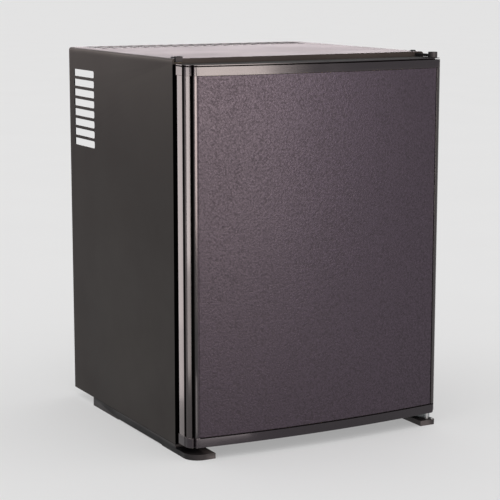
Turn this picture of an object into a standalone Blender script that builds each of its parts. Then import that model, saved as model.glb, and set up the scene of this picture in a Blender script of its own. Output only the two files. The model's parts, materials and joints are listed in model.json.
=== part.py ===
"""Forty litre absorption minibar fridge with a bowed, right-hinged door.

Metres, +Z up, front towards -Y, origin at the middle of the footprint on the floor.
"""
import math

import bmesh
import bpy
from mathutils import Vector

# Overall size of the closed fridge
WIDTH = 0.406
HEIGHT = 0.550
CABINET_DEPTH = 0.366
DOOR_GAP = 0.011
DOOR_DEPTH = 0.036
DOOR_BOW = 0.011

# Fits between pieces
FIT = 0.0003
PIN_CLEARANCE = 0.0005
CUT_PAST = 0.02

# Steel cabinet
SHEET = 0.001
FLANGE = 0.032
REAR_HEM = 0.009
WRAP_RADIUS = 0.004
OPENING_RADIUS = 0.012
BAY_DEPTH = 0.100

# Insulated chamber
WALL = 0.035
LINER_SHEET = 0.002
LINER_RADIUS = 0.010
LEDGE_DEPTH = 0.007
LEDGE_HEIGHT = 0.005
LEDGE_FRONT = 0.022
LEDGE_PITCH = 0.150
LEDGE_COUNT = 2
LOWEST_LEDGE = 0.145

# Vent slots
SIDE_SLOTS = 8
SIDE_SLOT_HEIGHT = 0.0105
SIDE_SLOT_LENGTH = 0.076
SIDE_SLOT_PITCH = 0.015
SIDE_SLOT_DROP = 0.032
SIDE_SLOT_REAR_MARGIN = 0.019
SLOT_CORNER = 0.0025
TOP_SLOTS = 21
TOP_SLOT_WIDTH = 0.011
TOP_SLOT_LENGTH = 0.062
TOP_SLOT_PITCH = 0.0173
TOP_SLOT_REAR_MARGIN = 0.006

# Foot rails and toes
FOOT_HEIGHT = 0.013
RAIL_WIDTH = 0.026
LEFT_TOE_WIDTH = 0.039
FOOT_REAR_SETBACK = 0.074
FOOT_RELIEF = 0.0012
RAIL_WALL = 0.004
FRONT_PAD = 0.045
REAR_PAD = 0.094
TOE_REACH = 0.048
TOE_THICKNESS = 0.008
LEFT_TOE_RADIUS = 0.022
RIGHT_TOE_RADIUS = 0.004

# Door outline
DOOR_BOTTOM = 0.018
DOOR_TOP_DROP = 0.0067
TOP_CAP = 0.0143
TOP_LID = 0.001
TOP_SEAM = 0.0017
TOP_SEAM_DEPTH = 0.003
BOTTOM_CAP = 0.014
PROFILE_WALL = 0.0025
PROFILE_LIP = 0.014
SIDE_FLAT = 0.018
SIDE_GROOVE = 0.0034
SIDE_GROOVE_DEPTH = 0.0014
GRIP_RADIUS = 0.012
GRIP_RISE = 0.0136
GRIP_SWEEP = 62
GRIP_GROOVE = 0.0042
GRIP_GROOVE_DEPTH = 0.0028
GRIP_LIP = 0.0006
GROOVE_EASE = 0.0008
GRIP_FLOOR_RISE = 0.0002
BEAD = 0.003
BEAD_PROUD = 0.0009
BEAD_LEAN = 0.0009
RIGHT_RADIUS = 0.006
RIGHT_STRIP = 0.008
PANEL_SHADOW_GAP = 0.0009
PANEL_SINK = 0.0004
PANEL_SHEET = 0.0022
PANEL_LEDGE = 0.0045
BOW_STEPS = 14

# Door inside
DYKE_GAP = 0.010
DYKE_WALL = 0.012
DYKE_DEPTH = 0.025
DYKE_RADIUS = 0.014
GASKET_WIDTH = 0.012
GASKET_WAIST = 0.0025
GASKET_EDGE = 0.0175
GASKET_RADIUS = 0.008
RACK_WALL = 0.002
RACK_REACH = 0.040
RACK_RADIUS = 0.012
RACK_WINDOW_INSET = 0.010
RACK_SILL = 0.55
RACK_RAIL = 0.006
RACK_HEIGHTS = (0.052, 0.044, 0.040)
RACK_FLOORS = (0.079, 0.200, 0.352)
RACK_NAMES = ("lower", "middle", "upper")
LUG_REACH = 0.0055
LUG_HEIGHT = 0.010
LUG_DEPTH = 0.020
HOOK_THICKNESS = 0.0025

# Hinge
AXIS_FROM_SIDE = 0.009
AXIS_FROM_FRONT = 0.037
PIN_RADIUS = 0.0035
PIN_REACH = 0.011
BOSS_RADIUS = 0.0066
BOSS_RISE = 0.0012
ARM_WIDTH = 0.011
ARM_THICKNESS = 0.003
ARM_DROP = 0.0025
ARM_TAIL = 0.024
BOTTOM_PLATE = 0.0025
BOTTOM_BLOCK_WIDTH = 0.024
BOTTOM_LEAF_HEIGHT = 0.014
COLLAR_RADIUS = 0.005
SCREW_HEAD_RADIUS = 0.0043
SCREW_HEAD_HEIGHT = 0.0016
SCREW_RADIUS = 0.0016
SCREW_SETBACK = 0.014
PLUG_HEAD_WIDTH = 0.010
PLUG_HEAD_HEIGHT = 0.0066
PLUG_HEAD_RISE = 0.003
PLUG_HEAD_DEPTH = 0.003
PLUG_HEAD_LAP = 0.004

# Cabinet fittings
FIN_COUNT = 18
FIN_PITCH = 0.011
FIN_THICKNESS = 0.0016
FIN_DEPTH = 0.018
EVAPORATOR_HEIGHT = 0.110
EVAPORATOR_DROP = 0.010
EVAPORATOR_BASE = 0.003
EVAPORATOR_LEFT = 0.020
TROUGH_DEPTH = 0.034
TROUGH_HEIGHT = 0.016
TROUGH_WALL = 0.0018
TROUGH_GAP = 0.008
TROUGH_OVERHANG = 0.008
SPOUT_SETBACK = 0.010
SPOUT_RADIUS = 0.006
SPOUT_BORE = 0.004
SPOUT_REACH = 0.008
HOUSING_WIDTH = 0.070
HOUSING_HEIGHT = 0.028
HOUSING_FRONT = 0.030
HOUSING_REAR = 0.200
HOUSING_INSET = 0.008
HOUSING_CORNER = 0.004
PLUNGER_SHARE = 0.25
KNOB_SHARE = 0.68
KNOB_RADIUS = 0.011
KNOB_DEPTH = 0.009
KNOB_FLUTES = 12
KNOB_FLUTE_DEPTH = 0.0008
SPINDLE_RADIUS = 0.003
SPINDLE_REACH = 0.007
POINTER_WIDTH = 0.001
PLUNGER_RADIUS = 0.003
PLUNGER_HOLE_DEPTH = 0.012
PLUNGER_TRAVEL = 0.004
LENS_LENGTH = 0.060
LENS_HEIGHT = 0.016
LENS_BULGE = 0.004

# Wire shelves
SHELF_FRONT = 0.075
SHELF_REAR_GAP = 0.004
SHELF_FRAME_RADIUS = 0.0025
SHELF_WIRE_RADIUS = 0.0013
SHELF_WIRES = 15
SHELF_SIDE_CLEARANCE = 0.0015

# Cooling unit in the rear bay
UNIT_STANDOFF = 0.0205
BRACKET_HEIGHT = 0.020
BRACKET_FLANGE = 0.012
BRACKET_SIDE_GAP = 0.003
BRACKET_SHEET = 0.002
BRACKET_LEVELS = (0.075, 0.260, 0.465)
JACKET_RADIUS = 0.031
JACKET_GAP = 0.0165
JACKET_CHAMFER = 0.004
JACKET_BOTTOM = 0.058
JACKET_TOP = 0.332
VESSEL_RADIUS = 0.027
VESSEL_LENGTH = 0.185
DOME_DEPTH = 0.012
DOME_SHOULDER = 0.005
VESSEL_GAP = 0.0105
VESSEL_Z = 0.075
COIL_RADIUS = 0.0065
COIL_PASSES = 6
COIL_PITCH = 0.040
COIL_OFFSET = 0.075
COIL_SPAN = 0.138
COIL_BOTTOM = 0.142
COIL_FOOT_SHARE = 0.3
PIPE_RADIUS = 0.007
CONDENSER_Z = 0.470
CONDENSER_OFFSET = 0.043
CONDENSER_LENGTH = 0.174
CONDENSER_FINS = 11
CONDENSER_FIN_PITCH = 0.0145
CONDENSER_FIN_SHEET = 0.001
CONDENSER_FIN_HEIGHT = 0.056
CONDENSER_FIN_CORNER = 0.004
PIPE_BEND = 0.018
PLUG_WIDTH = 0.060
PLUG_HEIGHT = 0.070
PLUG_THICKNESS = 0.006
PLUG_INSET = 0.013
PLUG_CORNER = 0.006
PLUG_Z = 0.405
TRAY_LENGTH = 0.090
TRAY_WIDTH = 0.036
TRAY_HEIGHT = 0.015
TRAY_WALL = 0.0016
TRAY_SHIFT = 0.025
TRAY_CORNER = 0.006
DRAIN_RADIUS = 0.004
BOX_WIDTH = 0.056
BOX_DEPTH = 0.062
BOX_HEIGHT = 0.080
BOX_SIDE_GAP = 0.008
BOX_BOTTOM = 0.030
BOX_CORNER = 0.004
INLET_WIDTH = 0.030
INLET_HEIGHT = 0.024
INLET_DEPTH = 0.016
INLET_WALL = 0.002
INLET_CHAMFER = 0.005
BLADE_PITCH = 0.007
BLADE_RISE = 0.002
BLADE_WIDTH = 0.002
BLADE_HEIGHT = 0.004

# Steps on round shapes
CORNER_STEPS = 3
SLOT_STEPS = 2
GRIP_STEPS = 5
STRIP_STEPS = 4
BEND_STEPS = 4
TURN_STEPS = 6
ROUND_SIDES = 20
VESSEL_SIDES = 24
BORE_SIDES = 16
SCREW_SIDES = 12
PIPE_SIDES = 8
WIRE_SIDES = 6

# Places worked out from the sizes
FRONT = (DOOR_GAP + DOOR_DEPTH + DOOR_BOW - CABINET_DEPTH) / 2
REAR = FRONT + CABINET_DEPTH
LEFT = -WIDTH / 2
RIGHT = WIDTH / 2
CABINET_BOTTOM = FOOT_HEIGHT + FIT
BAY_FRONT = REAR - BAY_DEPTH
PANEL_BACK_FACE = BAY_FRONT
CHAMBER_HALF = WIDTH / 2 - WALL
CHAMBER_BOTTOM = CABINET_BOTTOM + WALL
CHAMBER_TOP = HEIGHT - WALL
CHAMBER_BACK = BAY_FRONT - WALL
DOOR_BACK = FRONT - DOOR_GAP
DOOR_TOP = HEIGHT - DOOR_TOP_DROP
PANEL_BOTTOM = DOOR_BOTTOM + BOTTOM_CAP
PANEL_TOP = DOOR_TOP - TOP_CAP
AXIS_X = RIGHT - AXIS_FROM_SIDE
AXIS_Y = FRONT - AXIS_FROM_FRONT
GRIP_END = GRIP_RADIUS * (1 - math.cos(math.radians(GRIP_SWEEP)))
BEAD_START = GRIP_END + GRIP_LIP + GRIP_GROOVE + BEAD_LEAN
BEAD_END = BEAD_START + BEAD
PANEL_LEFT = LEFT + BEAD_END + FIT
PANEL_RIGHT = RIGHT - RIGHT_STRIP - PANEL_SHADOW_GAP
PANEL_FACE = DOOR_DEPTH - PANEL_SINK
UNIT_FACE = PANEL_BACK_FACE + FIT + UNIT_STANDOFF + FIT
BOX_RIGHT = RIGHT - SHEET - BOX_SIDE_GAP
BOX_LEFT = BOX_RIGHT - BOX_WIDTH
BRACKET_END = BOX_LEFT - BRACKET_SIDE_GAP
VESSEL_X = BOX_LEFT - VESSEL_GAP - VESSEL_LENGTH / 2
JACKET_X = VESSEL_X - VESSEL_LENGTH / 2 - JACKET_GAP - JACKET_RADIUS
CONDENSER_LEFT = JACKET_X + CONDENSER_OFFSET
CONDENSER_RIGHT = CONDENSER_LEFT + CONDENSER_LENGTH
COIL_LEFT = JACKET_X + COIL_OFFSET
COIL_RIGHT = COIL_LEFT + COIL_SPAN
PLUG_X = COIL_RIGHT - PLUG_INSET
TRAY_X = VESSEL_X - TRAY_SHIFT
JACKET_Y = UNIT_FACE + JACKET_RADIUS
VESSEL_Y = UNIT_FACE + VESSEL_RADIUS
COIL_Y = UNIT_FACE + COIL_RADIUS
DYKE_HALF = CHAMBER_HALF - DYKE_GAP
DYKE_BOTTOM = CHAMBER_BOTTOM + DYKE_GAP
DYKE_TOP = CHAMBER_TOP - DYKE_GAP
HOUSING_RIGHT = CHAMBER_HALF - HOUSING_INSET
HOUSING_LEFT = HOUSING_RIGHT - HOUSING_WIDTH
HOUSING_BOTTOM = CHAMBER_TOP - HOUSING_HEIGHT


def clear_scene():
    """Empty the scene without reloading the file."""
    for item in list(bpy.data.objects):
        bpy.data.objects.remove(item, do_unlink=True)


def finish(name, color, roughness, metallic=0.0):
    """Return a Principled material with the piece's main colour."""
    material = bpy.data.materials.new(name)
    material.use_nodes = True
    shader = material.node_tree.nodes["Principled BSDF"]
    shader.inputs["Base Color"].default_value = (*color, 1.0)
    shader.inputs["Roughness"].default_value = roughness
    shader.inputs["Metallic"].default_value = metallic
    return material


def arc(center, radius, start, sweep, steps=CORNER_STEPS):
    """Points along an arc, angles in degrees, both ends included."""
    points = []
    for step in range(steps + 1):
        angle = math.radians(start + sweep * step / steps)
        points.append((center[0] + radius * math.cos(angle), center[1] + radius * math.sin(angle)))
    return points


def rounded_rect(low, high, radius, steps=CORNER_STEPS):
    """Counterclockwise outline of a rectangle with rounded corners."""
    (left, bottom), (right, top) = low, high
    corners = (
        ((right - radius, bottom + radius), -90),
        ((right - radius, top - radius), 0),
        ((left + radius, top - radius), 90),
        ((left + radius, bottom + radius), 180),
    )
    outline = []
    for center, start in corners:
        outline.extend(arc(center, radius, start, 90, steps))
    return outline


def rectangle(low, high):
    """Counterclockwise outline of a plain rectangle."""
    return [low, (high[0], low[1]), high, (low[0], high[1])]


def place(axis, across, up, along):
    """Turn outline coordinates into a point: X uses (y, z), Y uses (x, z), Z uses (x, y)."""
    if axis == "X":
        return Vector((along, across, up))
    if axis == "Y":
        return Vector((across, along, up))
    return Vector((across, up, along))


def prism(outline, axis, start, end):
    """Extrude a closed outline along an axis."""
    shape = bmesh.new()
    face = shape.faces.new([shape.verts.new(place(axis, u, v, start)) for u, v in outline])
    grown = bmesh.ops.extrude_face_region(shape, geom=[face])
    moved = [item for item in grown["geom"] if isinstance(item, bmesh.types.BMVert)]
    bmesh.ops.translate(shape, verts=moved, vec=place(axis, 0, 0, end - start))
    bmesh.ops.recalc_face_normals(shape, faces=shape.faces)
    return shape


def box(low, high):
    """A box between two corners."""
    return prism(rectangle((low[0], low[1]), (high[0], high[1])), "Z", low[2], high[2])


def circle(center, radius, sides):
    """Points round a whole circle."""
    return arc(center, radius, 0, 360 * (sides - 1) / sides, sides - 1)


def rod(axis, center, radius, start, end, sides=ROUND_SIDES):
    """A cylinder along an axis, centred on the two other coordinates."""
    return prism(circle(center, radius, sides), axis, start, end)


def lofted(loops):
    """Close a row of matching loops of points into one skin with flat ends."""
    shape = bmesh.new()
    rings = [[shape.verts.new(point) for point in loop] for loop in loops]
    for lower, upper in zip(rings, rings[1:]):
        for index, vert in enumerate(lower):
            following = (index + 1) % len(lower)
            shape.faces.new((vert, lower[following], upper[following], upper[index]))
    shape.faces.new(rings[0])
    shape.faces.new(rings[-1])
    bmesh.ops.recalc_face_normals(shape, faces=shape.faces)
    return shape


def turned(axis, center, profile, sides):
    """A closed round shape through rings given as (radius, place along the axis)."""
    loops = []
    for radius, along in profile:
        loops.append([place(axis, across, up, along) for across, up in circle(center, radius, sides)])
    return lofted(loops)


def swept_frame(section, half_width, low, high, radius, start):
    """Sweep a section of (inset, depth) points round an upright frame opening towards +Y."""
    shape = bmesh.new()
    rings = []
    for inset, depth in section:
        corner = max(radius - inset, SHEET)
        near, far = (inset - half_width, low + inset), (half_width - inset, high - inset)
        outline = rounded_rect(near, far, corner)
        rings.append([shape.verts.new((x, start + depth, z)) for x, z in outline])
    for lower, upper in zip(rings, rings[1:] + rings[:1]):
        for index, vert in enumerate(lower):
            following = (index + 1) % len(lower)
            shape.faces.new((vert, lower[following], upper[following], upper[index]))
    bmesh.ops.recalc_face_normals(shape, faces=shape.faces)
    return shape


def solid(name, shape, material, parent=None, pivot=(0, 0, 0)):
    """Store a shape as a named object whose origin is its pivot."""
    mesh = bpy.data.meshes.new(name)
    bmesh.ops.translate(shape, verts=shape.verts, vec=-Vector(pivot))
    shape.to_mesh(mesh)
    shape.free()
    item = bpy.data.objects.new(name, mesh)
    item.location = pivot
    bpy.context.collection.objects.link(item)
    if material:
        mesh.materials.append(material)
    if parent:
        item.parent = parent
        item.location = Vector(pivot) - parent.location
    return item


def combine(item, shapes, operation):
    """Apply Boolean operations to an object, one tool shape after the other."""
    for shape in shapes:
        tool = solid("tool", shape, None)
        bpy.context.view_layer.update()
        modifier = item.modifiers.new("combine", "BOOLEAN")
        modifier.operation = operation
        modifier.solver = "EXACT"
        modifier.object = tool
        graph = bpy.context.evaluated_depsgraph_get()
        mesh = bpy.data.meshes.new_from_object(item.evaluated_get(graph))
        item.modifiers.clear()
        old = item.data
        item.data = mesh
        mesh.name = item.name
        bpy.data.meshes.remove(old)
        bpy.data.objects.remove(tool, do_unlink=True)
    return item


def cut(item, *shapes):
    """Cut shapes out of an object."""
    return combine(item, shapes, "DIFFERENCE")


def add(item, *shapes):
    """Join overlapping shapes to an object."""
    return combine(item, shapes, "UNION")


def smooth(item, angle=35):
    """Shade round faces smooth and keep sharp edges."""
    item.data.shade_smooth()
    item.data.set_sharp_from_angle(angle=math.radians(angle))
    return item


def merged(shapes):
    """Put separate shapes into one mesh, for use as one cutting tool."""
    whole = bmesh.new()
    mesh = bpy.data.meshes.new("merged")
    for shape in shapes:
        shape.to_mesh(mesh)
        shape.free()
        whole.from_mesh(mesh)
    bpy.data.meshes.remove(mesh)
    return whole


def pipe(name, points, radius, material):
    """A round pipe with flat ends that follows a line of points."""
    path = [Vector(point) for point in points]
    heading = (path[1] - path[0]).normalized()
    side = heading.orthogonal().normalized()
    loops = []
    for index, point in enumerate(path):
        before = path[max(index - 1, 0)]
        after = path[min(index + 1, len(path) - 1)]
        heading = (after - before).normalized()
        side = (side - heading * side.dot(heading)).normalized()
        up = heading.cross(side)
        loop = []
        for step in range(PIPE_SIDES):
            angle = 2 * math.pi * step / PIPE_SIDES
            loop.append(point + (side * math.cos(angle) + up * math.sin(angle)) * radius)
        loops.append(loop)
    return smooth(solid(name, lofted(loops), material))


def rounded_path(corners, bend, steps=BEND_STEPS):
    """Follow corner points with each inner corner turned into a smooth bend."""
    path = [Vector(corners[0])]
    for before, corner, after in zip(corners, corners[1:], corners[2:]):
        corner = Vector(corner)
        entry = corner + (Vector(before) - corner).normalized() * bend
        leave = corner + (Vector(after) - corner).normalized() * bend
        for step in range(steps + 1):
            share = step / steps
            path.append(entry.lerp(corner, share).lerp(corner.lerp(leave, share), share))
    path.append(Vector(corners[-1]))
    return path


def bow(x):
    """How far the door's front stands out at x, from its straight edges."""
    middle = (PANEL_LEFT + PANEL_RIGHT) / 2
    half = (PANEL_RIGHT - PANEL_LEFT) / 2
    return DOOR_BOW * (1 - ((x - middle) / half) ** 2)


def bowed_line(left, right, depth):
    """Points from left to right on the bowed surface that lies depth in front of the door's back."""
    points = []
    for step in range(BOW_STEPS + 1):
        x = left + (right - left) * step / BOW_STEPS
        points.append((x, DOOR_BACK - depth - max(bow(x), 0.0)))
    return points


def from_left(points):
    """Door outline points given as (in from the left side, forward from the back)."""
    return [(LEFT + across, DOOR_BACK - forward) for across, forward in points]


def from_right(points):
    """Door outline points given as (in from the right side, forward from the back)."""
    return [(RIGHT - across, DOOR_BACK - forward) for across, forward in points]


def grip_outline():
    """Outer line of the grip side: flat, shadow groove, round corner, finger groove and bead."""
    corner = SIDE_FLAT + SIDE_GROOVE
    points = [
        (0.0, 0.0),
        (0.0, SIDE_FLAT),
        (SIDE_GROOVE_DEPTH, SIDE_FLAT + GROOVE_EASE),
        (SIDE_GROOVE_DEPTH, corner - GROOVE_EASE),
    ]
    for step in range(GRIP_STEPS + 1):
        angle = math.radians(GRIP_SWEEP * step / GRIP_STEPS)
        points.append((GRIP_RADIUS * (1 - math.cos(angle)), corner + GRIP_RISE * math.sin(angle)))
    rim = corner + GRIP_RISE * math.sin(math.radians(GRIP_SWEEP))
    floor = rim - GRIP_GROOVE_DEPTH
    points += [
        (GRIP_END + GRIP_LIP, floor + GRIP_FLOOR_RISE),
        (GRIP_END + GRIP_GROOVE, floor),
        (BEAD_START, PANEL_FACE - GROOVE_EASE),
        (BEAD_START + BEAD * 0.25, PANEL_FACE + BEAD_PROUD * 0.8),
        (BEAD_START + BEAD * 0.6, PANEL_FACE + BEAD_PROUD),
        (BEAD_END, PANEL_FACE),
    ]
    return points


def strip_outline():
    """Outer line of the hinge side: flat, round corner and narrow front strip."""
    corner = DOOR_DEPTH - RIGHT_RADIUS
    points = [(0.0, 0.0), (0.0, corner)]
    for step in range(1, STRIP_STEPS + 1):
        angle = math.radians(90 * step / STRIP_STEPS)
        points.append((RIGHT_RADIUS * (1 - math.cos(angle)), corner + RIGHT_RADIUS * math.sin(angle)))
    points.append((RIGHT_STRIP, DOOR_DEPTH))
    return points


def build_wrap(paint):
    """Folded steel wrap: both sides, the top, the front flange and all vent slots."""
    top = HEIGHT
    outline = [(LEFT, CABINET_BOTTOM), (RIGHT, CABINET_BOTTOM)]
    outline += arc((RIGHT - WRAP_RADIUS, top - WRAP_RADIUS), WRAP_RADIUS, 0, 90)
    outline += arc((LEFT + WRAP_RADIUS, top - WRAP_RADIUS), WRAP_RADIUS, 90, 90)
    wrap = solid("outer_wrap", prism(outline, "Y", FRONT, REAR), paint)
    inner_radius = WRAP_RADIUS - SHEET
    low = CABINET_BOTTOM - CUT_PAST
    inside = [(LEFT + SHEET, low), (RIGHT - SHEET, low)]
    inside += arc((RIGHT - WRAP_RADIUS, top - WRAP_RADIUS), inner_radius, 0, 90)
    inside += arc((LEFT + WRAP_RADIUS, top - WRAP_RADIUS), inner_radius, 90, 90)
    mouth = [(LEFT + FLANGE, low), (RIGHT - FLANGE, low)]
    mouth += arc((RIGHT - FLANGE - OPENING_RADIUS, top - FLANGE - OPENING_RADIUS), OPENING_RADIUS, 0, 90)
    mouth += arc((LEFT + FLANGE + OPENING_RADIUS, top - FLANGE - OPENING_RADIUS), OPENING_RADIUS, 90, 90)
    hem = [(LEFT + REAR_HEM, low), (RIGHT - REAR_HEM, low), (RIGHT - REAR_HEM, top - SHEET)]
    hem += [(LEFT + REAR_HEM, top - SHEET)]
    cut(wrap, prism(inside, "Y", FRONT + SHEET, REAR - SHEET))
    cut(wrap, prism(mouth, "Y", FRONT - CUT_PAST, FRONT + CUT_PAST))
    cut(wrap, prism(hem, "Y", REAR - 3 * SHEET, REAR + SHEET))
    cut(wrap, merged(side_slots()), merged(top_slots()), merged(hinge_slots()))
    return wrap


def side_slots():
    """Cutters for the rows of vent slots near the rear of both sides."""
    back = REAR - SIDE_SLOT_REAR_MARGIN
    shapes = []
    for index in range(SIDE_SLOTS):
        high = HEIGHT - SIDE_SLOT_DROP - index * SIDE_SLOT_PITCH
        low = high - SIDE_SLOT_HEIGHT
        for side in (-1, 1):
            outline = rounded_rect((back - SIDE_SLOT_LENGTH, low), (back, high), SLOT_CORNER, SLOT_STEPS)
            middle = side * WIDTH / 2
            shapes.append(prism(outline, "X", middle - 2 * SHEET, middle + 2 * SHEET))
    return shapes


def top_slots():
    """Cutters for the row of vent slots along the rear edge of the top."""
    back = REAR - TOP_SLOT_REAR_MARGIN
    shapes = []
    for index in range(TOP_SLOTS):
        x = (index - (TOP_SLOTS - 1) / 2) * TOP_SLOT_PITCH
        low = (x - TOP_SLOT_WIDTH / 2, back - TOP_SLOT_LENGTH)
        outline = rounded_rect(low, (x + TOP_SLOT_WIDTH / 2, back), SLOT_CORNER, SLOT_STEPS)
        shapes.append(prism(outline, "Z", HEIGHT - 2 * SHEET, HEIGHT + SHEET))
    return shapes


def hinge_slots():
    """Cutters for the hinge arm slot and screw hole at both top corners."""
    arm_top = HEIGHT - ARM_DROP
    shapes = []
    for side in (-1, 1):
        x = side * AXIS_X
        half = ARM_WIDTH / 2 + FIT
        low = (x - half, FRONT - SHEET, arm_top - ARM_THICKNESS - FIT)
        shapes.append(box(low, (x + half, FRONT + 2 * SHEET, arm_top + FIT)))
        seat = (x, FRONT + SCREW_SETBACK)
        hole = SCREW_RADIUS + FIT
        shapes.append(rod("Z", seat, hole, HEIGHT - 2 * SHEET, HEIGHT + SHEET, SCREW_SIDES))
    return shapes


def build_shell(paint, foam_finish, dark_paint):
    """Bottom pan, rear panel and the foam between the wrap and the liner."""
    half = WIDTH / 2 - SHEET - FIT
    flange_half = WIDTH / 2 - FLANGE - FIT
    low = CABINET_BOTTOM
    inner_front = FRONT + SHEET + FIT
    panel_front = BAY_FRONT - SHEET
    plate = box((-half, inner_front, low), (half, panel_front - FIT, low + SHEET))
    pan = solid("bottom_pan", plate, paint)
    add(pan, box((-flange_half, FRONT, low), (flange_half, inner_front + SHEET, low + SHEET)))
    add(pan, box((-flange_half, FRONT, low), (flange_half, FRONT + SHEET, low + FLANGE)))
    inside_low = low + SHEET + FIT
    inside_high = HEIGHT - SHEET - FIT
    corner = WRAP_RADIUS - SHEET
    skin = [(-half, inside_low), (half, inside_low)]
    skin += arc((half - corner, inside_high - corner), corner, 0, 90)
    skin += arc((corner - half, inside_high - corner), corner, 90, 90)
    solid("rear_panel", prism(skin, "Y", panel_front, BAY_FRONT), dark_paint)
    foam = solid("insulation", prism(skin, "Y", inner_front, panel_front - FIT), foam_finish)
    grow = LINER_SHEET + FIT
    pocket = rounded_rect(
        (-CHAMBER_HALF - grow, CHAMBER_BOTTOM - grow),
        (CHAMBER_HALF + grow, CHAMBER_TOP + grow),
        LINER_RADIUS + grow,
    )
    cut(foam, prism(pocket, "Y", FRONT - CUT_PAST, CHAMBER_BACK + grow))
    arm_low = HEIGHT - ARM_DROP - ARM_THICKNESS - FIT
    reach = FRONT + ARM_TAIL + FIT
    for side in (-1, 1):
        x = side * AXIS_X
        wide = ARM_WIDTH / 2 + FIT
        cut(foam, box((x - wide, FRONT - CUT_PAST, arm_low), (x + wide, reach, HEIGHT)))
    return foam


def ledge_level(index):
    """Height of the underside of a shelf ledge pair."""
    return LOWEST_LEDGE + index * LEDGE_PITCH


def build_liner(plastic):
    """White chamber liner with its front lip and a pair of grooved ledges for each shelf."""
    outer = rounded_rect(
        (-CHAMBER_HALF - LINER_SHEET, CHAMBER_BOTTOM - LINER_SHEET),
        (CHAMBER_HALF + LINER_SHEET, CHAMBER_TOP + LINER_SHEET),
        LINER_RADIUS + LINER_SHEET,
    )
    lip_half = WIDTH / 2 - FLANGE - FIT
    lip_low = CABINET_BOTTOM + FLANGE + FIT
    lip = rounded_rect((-lip_half, lip_low), (lip_half, HEIGHT - FLANGE - FIT), OPENING_RADIUS)
    cavity = rounded_rect((-CHAMBER_HALF, CHAMBER_BOTTOM), (CHAMBER_HALF, CHAMBER_TOP), LINER_RADIUS)
    shell = prism(outer, "Y", FRONT + SHEET / 2, CHAMBER_BACK + LINER_SHEET)
    liner = solid("inner_liner", shell, plastic)
    add(liner, prism(lip, "Y", FRONT, FRONT + SHEET))
    cut(liner, prism(cavity, "Y", FRONT - CUT_PAST, CHAMBER_BACK))
    root = CHAMBER_HALF + LINER_SHEET / 2
    groove = 2 * SHELF_FRAME_RADIUS + 4 * FIT
    for index in range(LEDGE_COUNT):
        level = ledge_level(index)
        for low in (level, level + LEDGE_HEIGHT + groove):
            for side in (-1, 1):
                near = side * (CHAMBER_HALF - LEDGE_DEPTH)
                far = side * root
                front = FRONT + LEDGE_FRONT
                corner = (min(near, far), front, low)
                add(liner, box(corner, (max(near, far), CHAMBER_BACK + SHEET, low + LEDGE_HEIGHT)))
    return liner


def build_foot(side, toe_width, radius, plastic):
    """Moulded rail under one side, with a low toe that runs out under the door."""
    name = "foot_rail_left" if side < 0 else "foot_rail_right"
    outer = side * WIDTH / 2
    inner = side * (WIDTH / 2 - RAIL_WIDTH)
    toe_inner = side * (WIDTH / 2 - toe_width)
    end = REAR - FOOT_REAR_SETBACK
    toe = FRONT - TOE_REACH
    flare = FRONT - BOTTOM_PLATE
    outline = [(outer, end), (inner, end), (inner, flare), (toe_inner, flare), (toe_inner, toe)]
    if toe_width == RAIL_WIDTH:
        outline = [(outer, end), (inner, end), (inner, toe)]
    outline += arc((outer - side * radius, toe + radius), radius, -90, 90 * side, 6)
    foot = solid(name, prism(outline, "Z", 0.0, FOOT_HEIGHT), plastic)
    left = min(outer, toe_inner) - SHEET
    right = max(outer, toe_inner) + SHEET
    cut(foot, box((left, toe - SHEET, TOE_THICKNESS), (right, FRONT, FOOT_HEIGHT + SHEET)))
    cut(foot, box((left, FRONT + FRONT_PAD, -SHEET), (right, end - REAR_PAD, FOOT_RELIEF)))
    middle = outer - side * RAIL_WIDTH / 2
    half = RAIL_WIDTH / 2 - RAIL_WALL
    low = (middle - half, FRONT + RAIL_WALL)
    hollow = rounded_rect(low, (middle + half, end - RAIL_WALL), RAIL_WALL)
    cut(foot, prism(hollow, "Z", FOOT_HEIGHT - RAIL_WALL, FOOT_HEIGHT + SHEET))
    return foot


def build_plugs(grey, dark):
    """Blanking clip and screw at the unused hinge place, top left."""
    x = -AXIS_X
    half = PLUG_HEAD_WIDTH / 2
    front = FRONT - FIT - PLUG_HEAD_DEPTH
    top = HEIGHT + PLUG_HEAD_RISE
    low = top - PLUG_HEAD_HEIGHT
    roof = HEIGHT + FIT
    profile = [
        (front, low),
        (FRONT - FIT, low),
        (FRONT - FIT, roof),
        (FRONT + PLUG_HEAD_LAP, roof),
        (FRONT + PLUG_HEAD_LAP, roof + PLUG_HEAD_RISE * 0.4),
        (FRONT + PLUG_HEAD_LAP * 0.5, top),
        (front + PLUG_HEAD_DEPTH * 0.4, top),
        (front, top - PLUG_HEAD_DEPTH * 0.4),
    ]
    plug = solid("hinge_plug_front", prism(profile, "X", x - half, x + half), grey)
    arm_top = HEIGHT - ARM_DROP
    tongue = (x - half, FRONT - PLUG_HEAD_DEPTH, arm_top - ARM_THICKNESS + FIT)
    add(plug, box(tongue, (x + half, FRONT + PLUG_HEAD_LAP, arm_top - FIT)))
    return screw("hinge_plug_top", x, dark)


def screw(name, x, material):
    """A round-headed screw through the cabinet top, into the hinge place."""
    y = FRONT + SCREW_SETBACK
    seat = HEIGHT + FIT
    tip = HEIGHT - ARM_DROP - ARM_THICKNESS + FIT
    profile = (
        (SCREW_RADIUS, tip),
        (SCREW_RADIUS, seat),
        (SCREW_HEAD_RADIUS, seat),
        (SCREW_HEAD_RADIUS, seat + SCREW_HEAD_HEIGHT * 0.4),
        (SCREW_HEAD_RADIUS * 0.6, seat + SCREW_HEAD_HEIGHT),
    )
    return smooth(solid(name, turned("Z", (x, y), profile, SCREW_SIDES), material))


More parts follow.
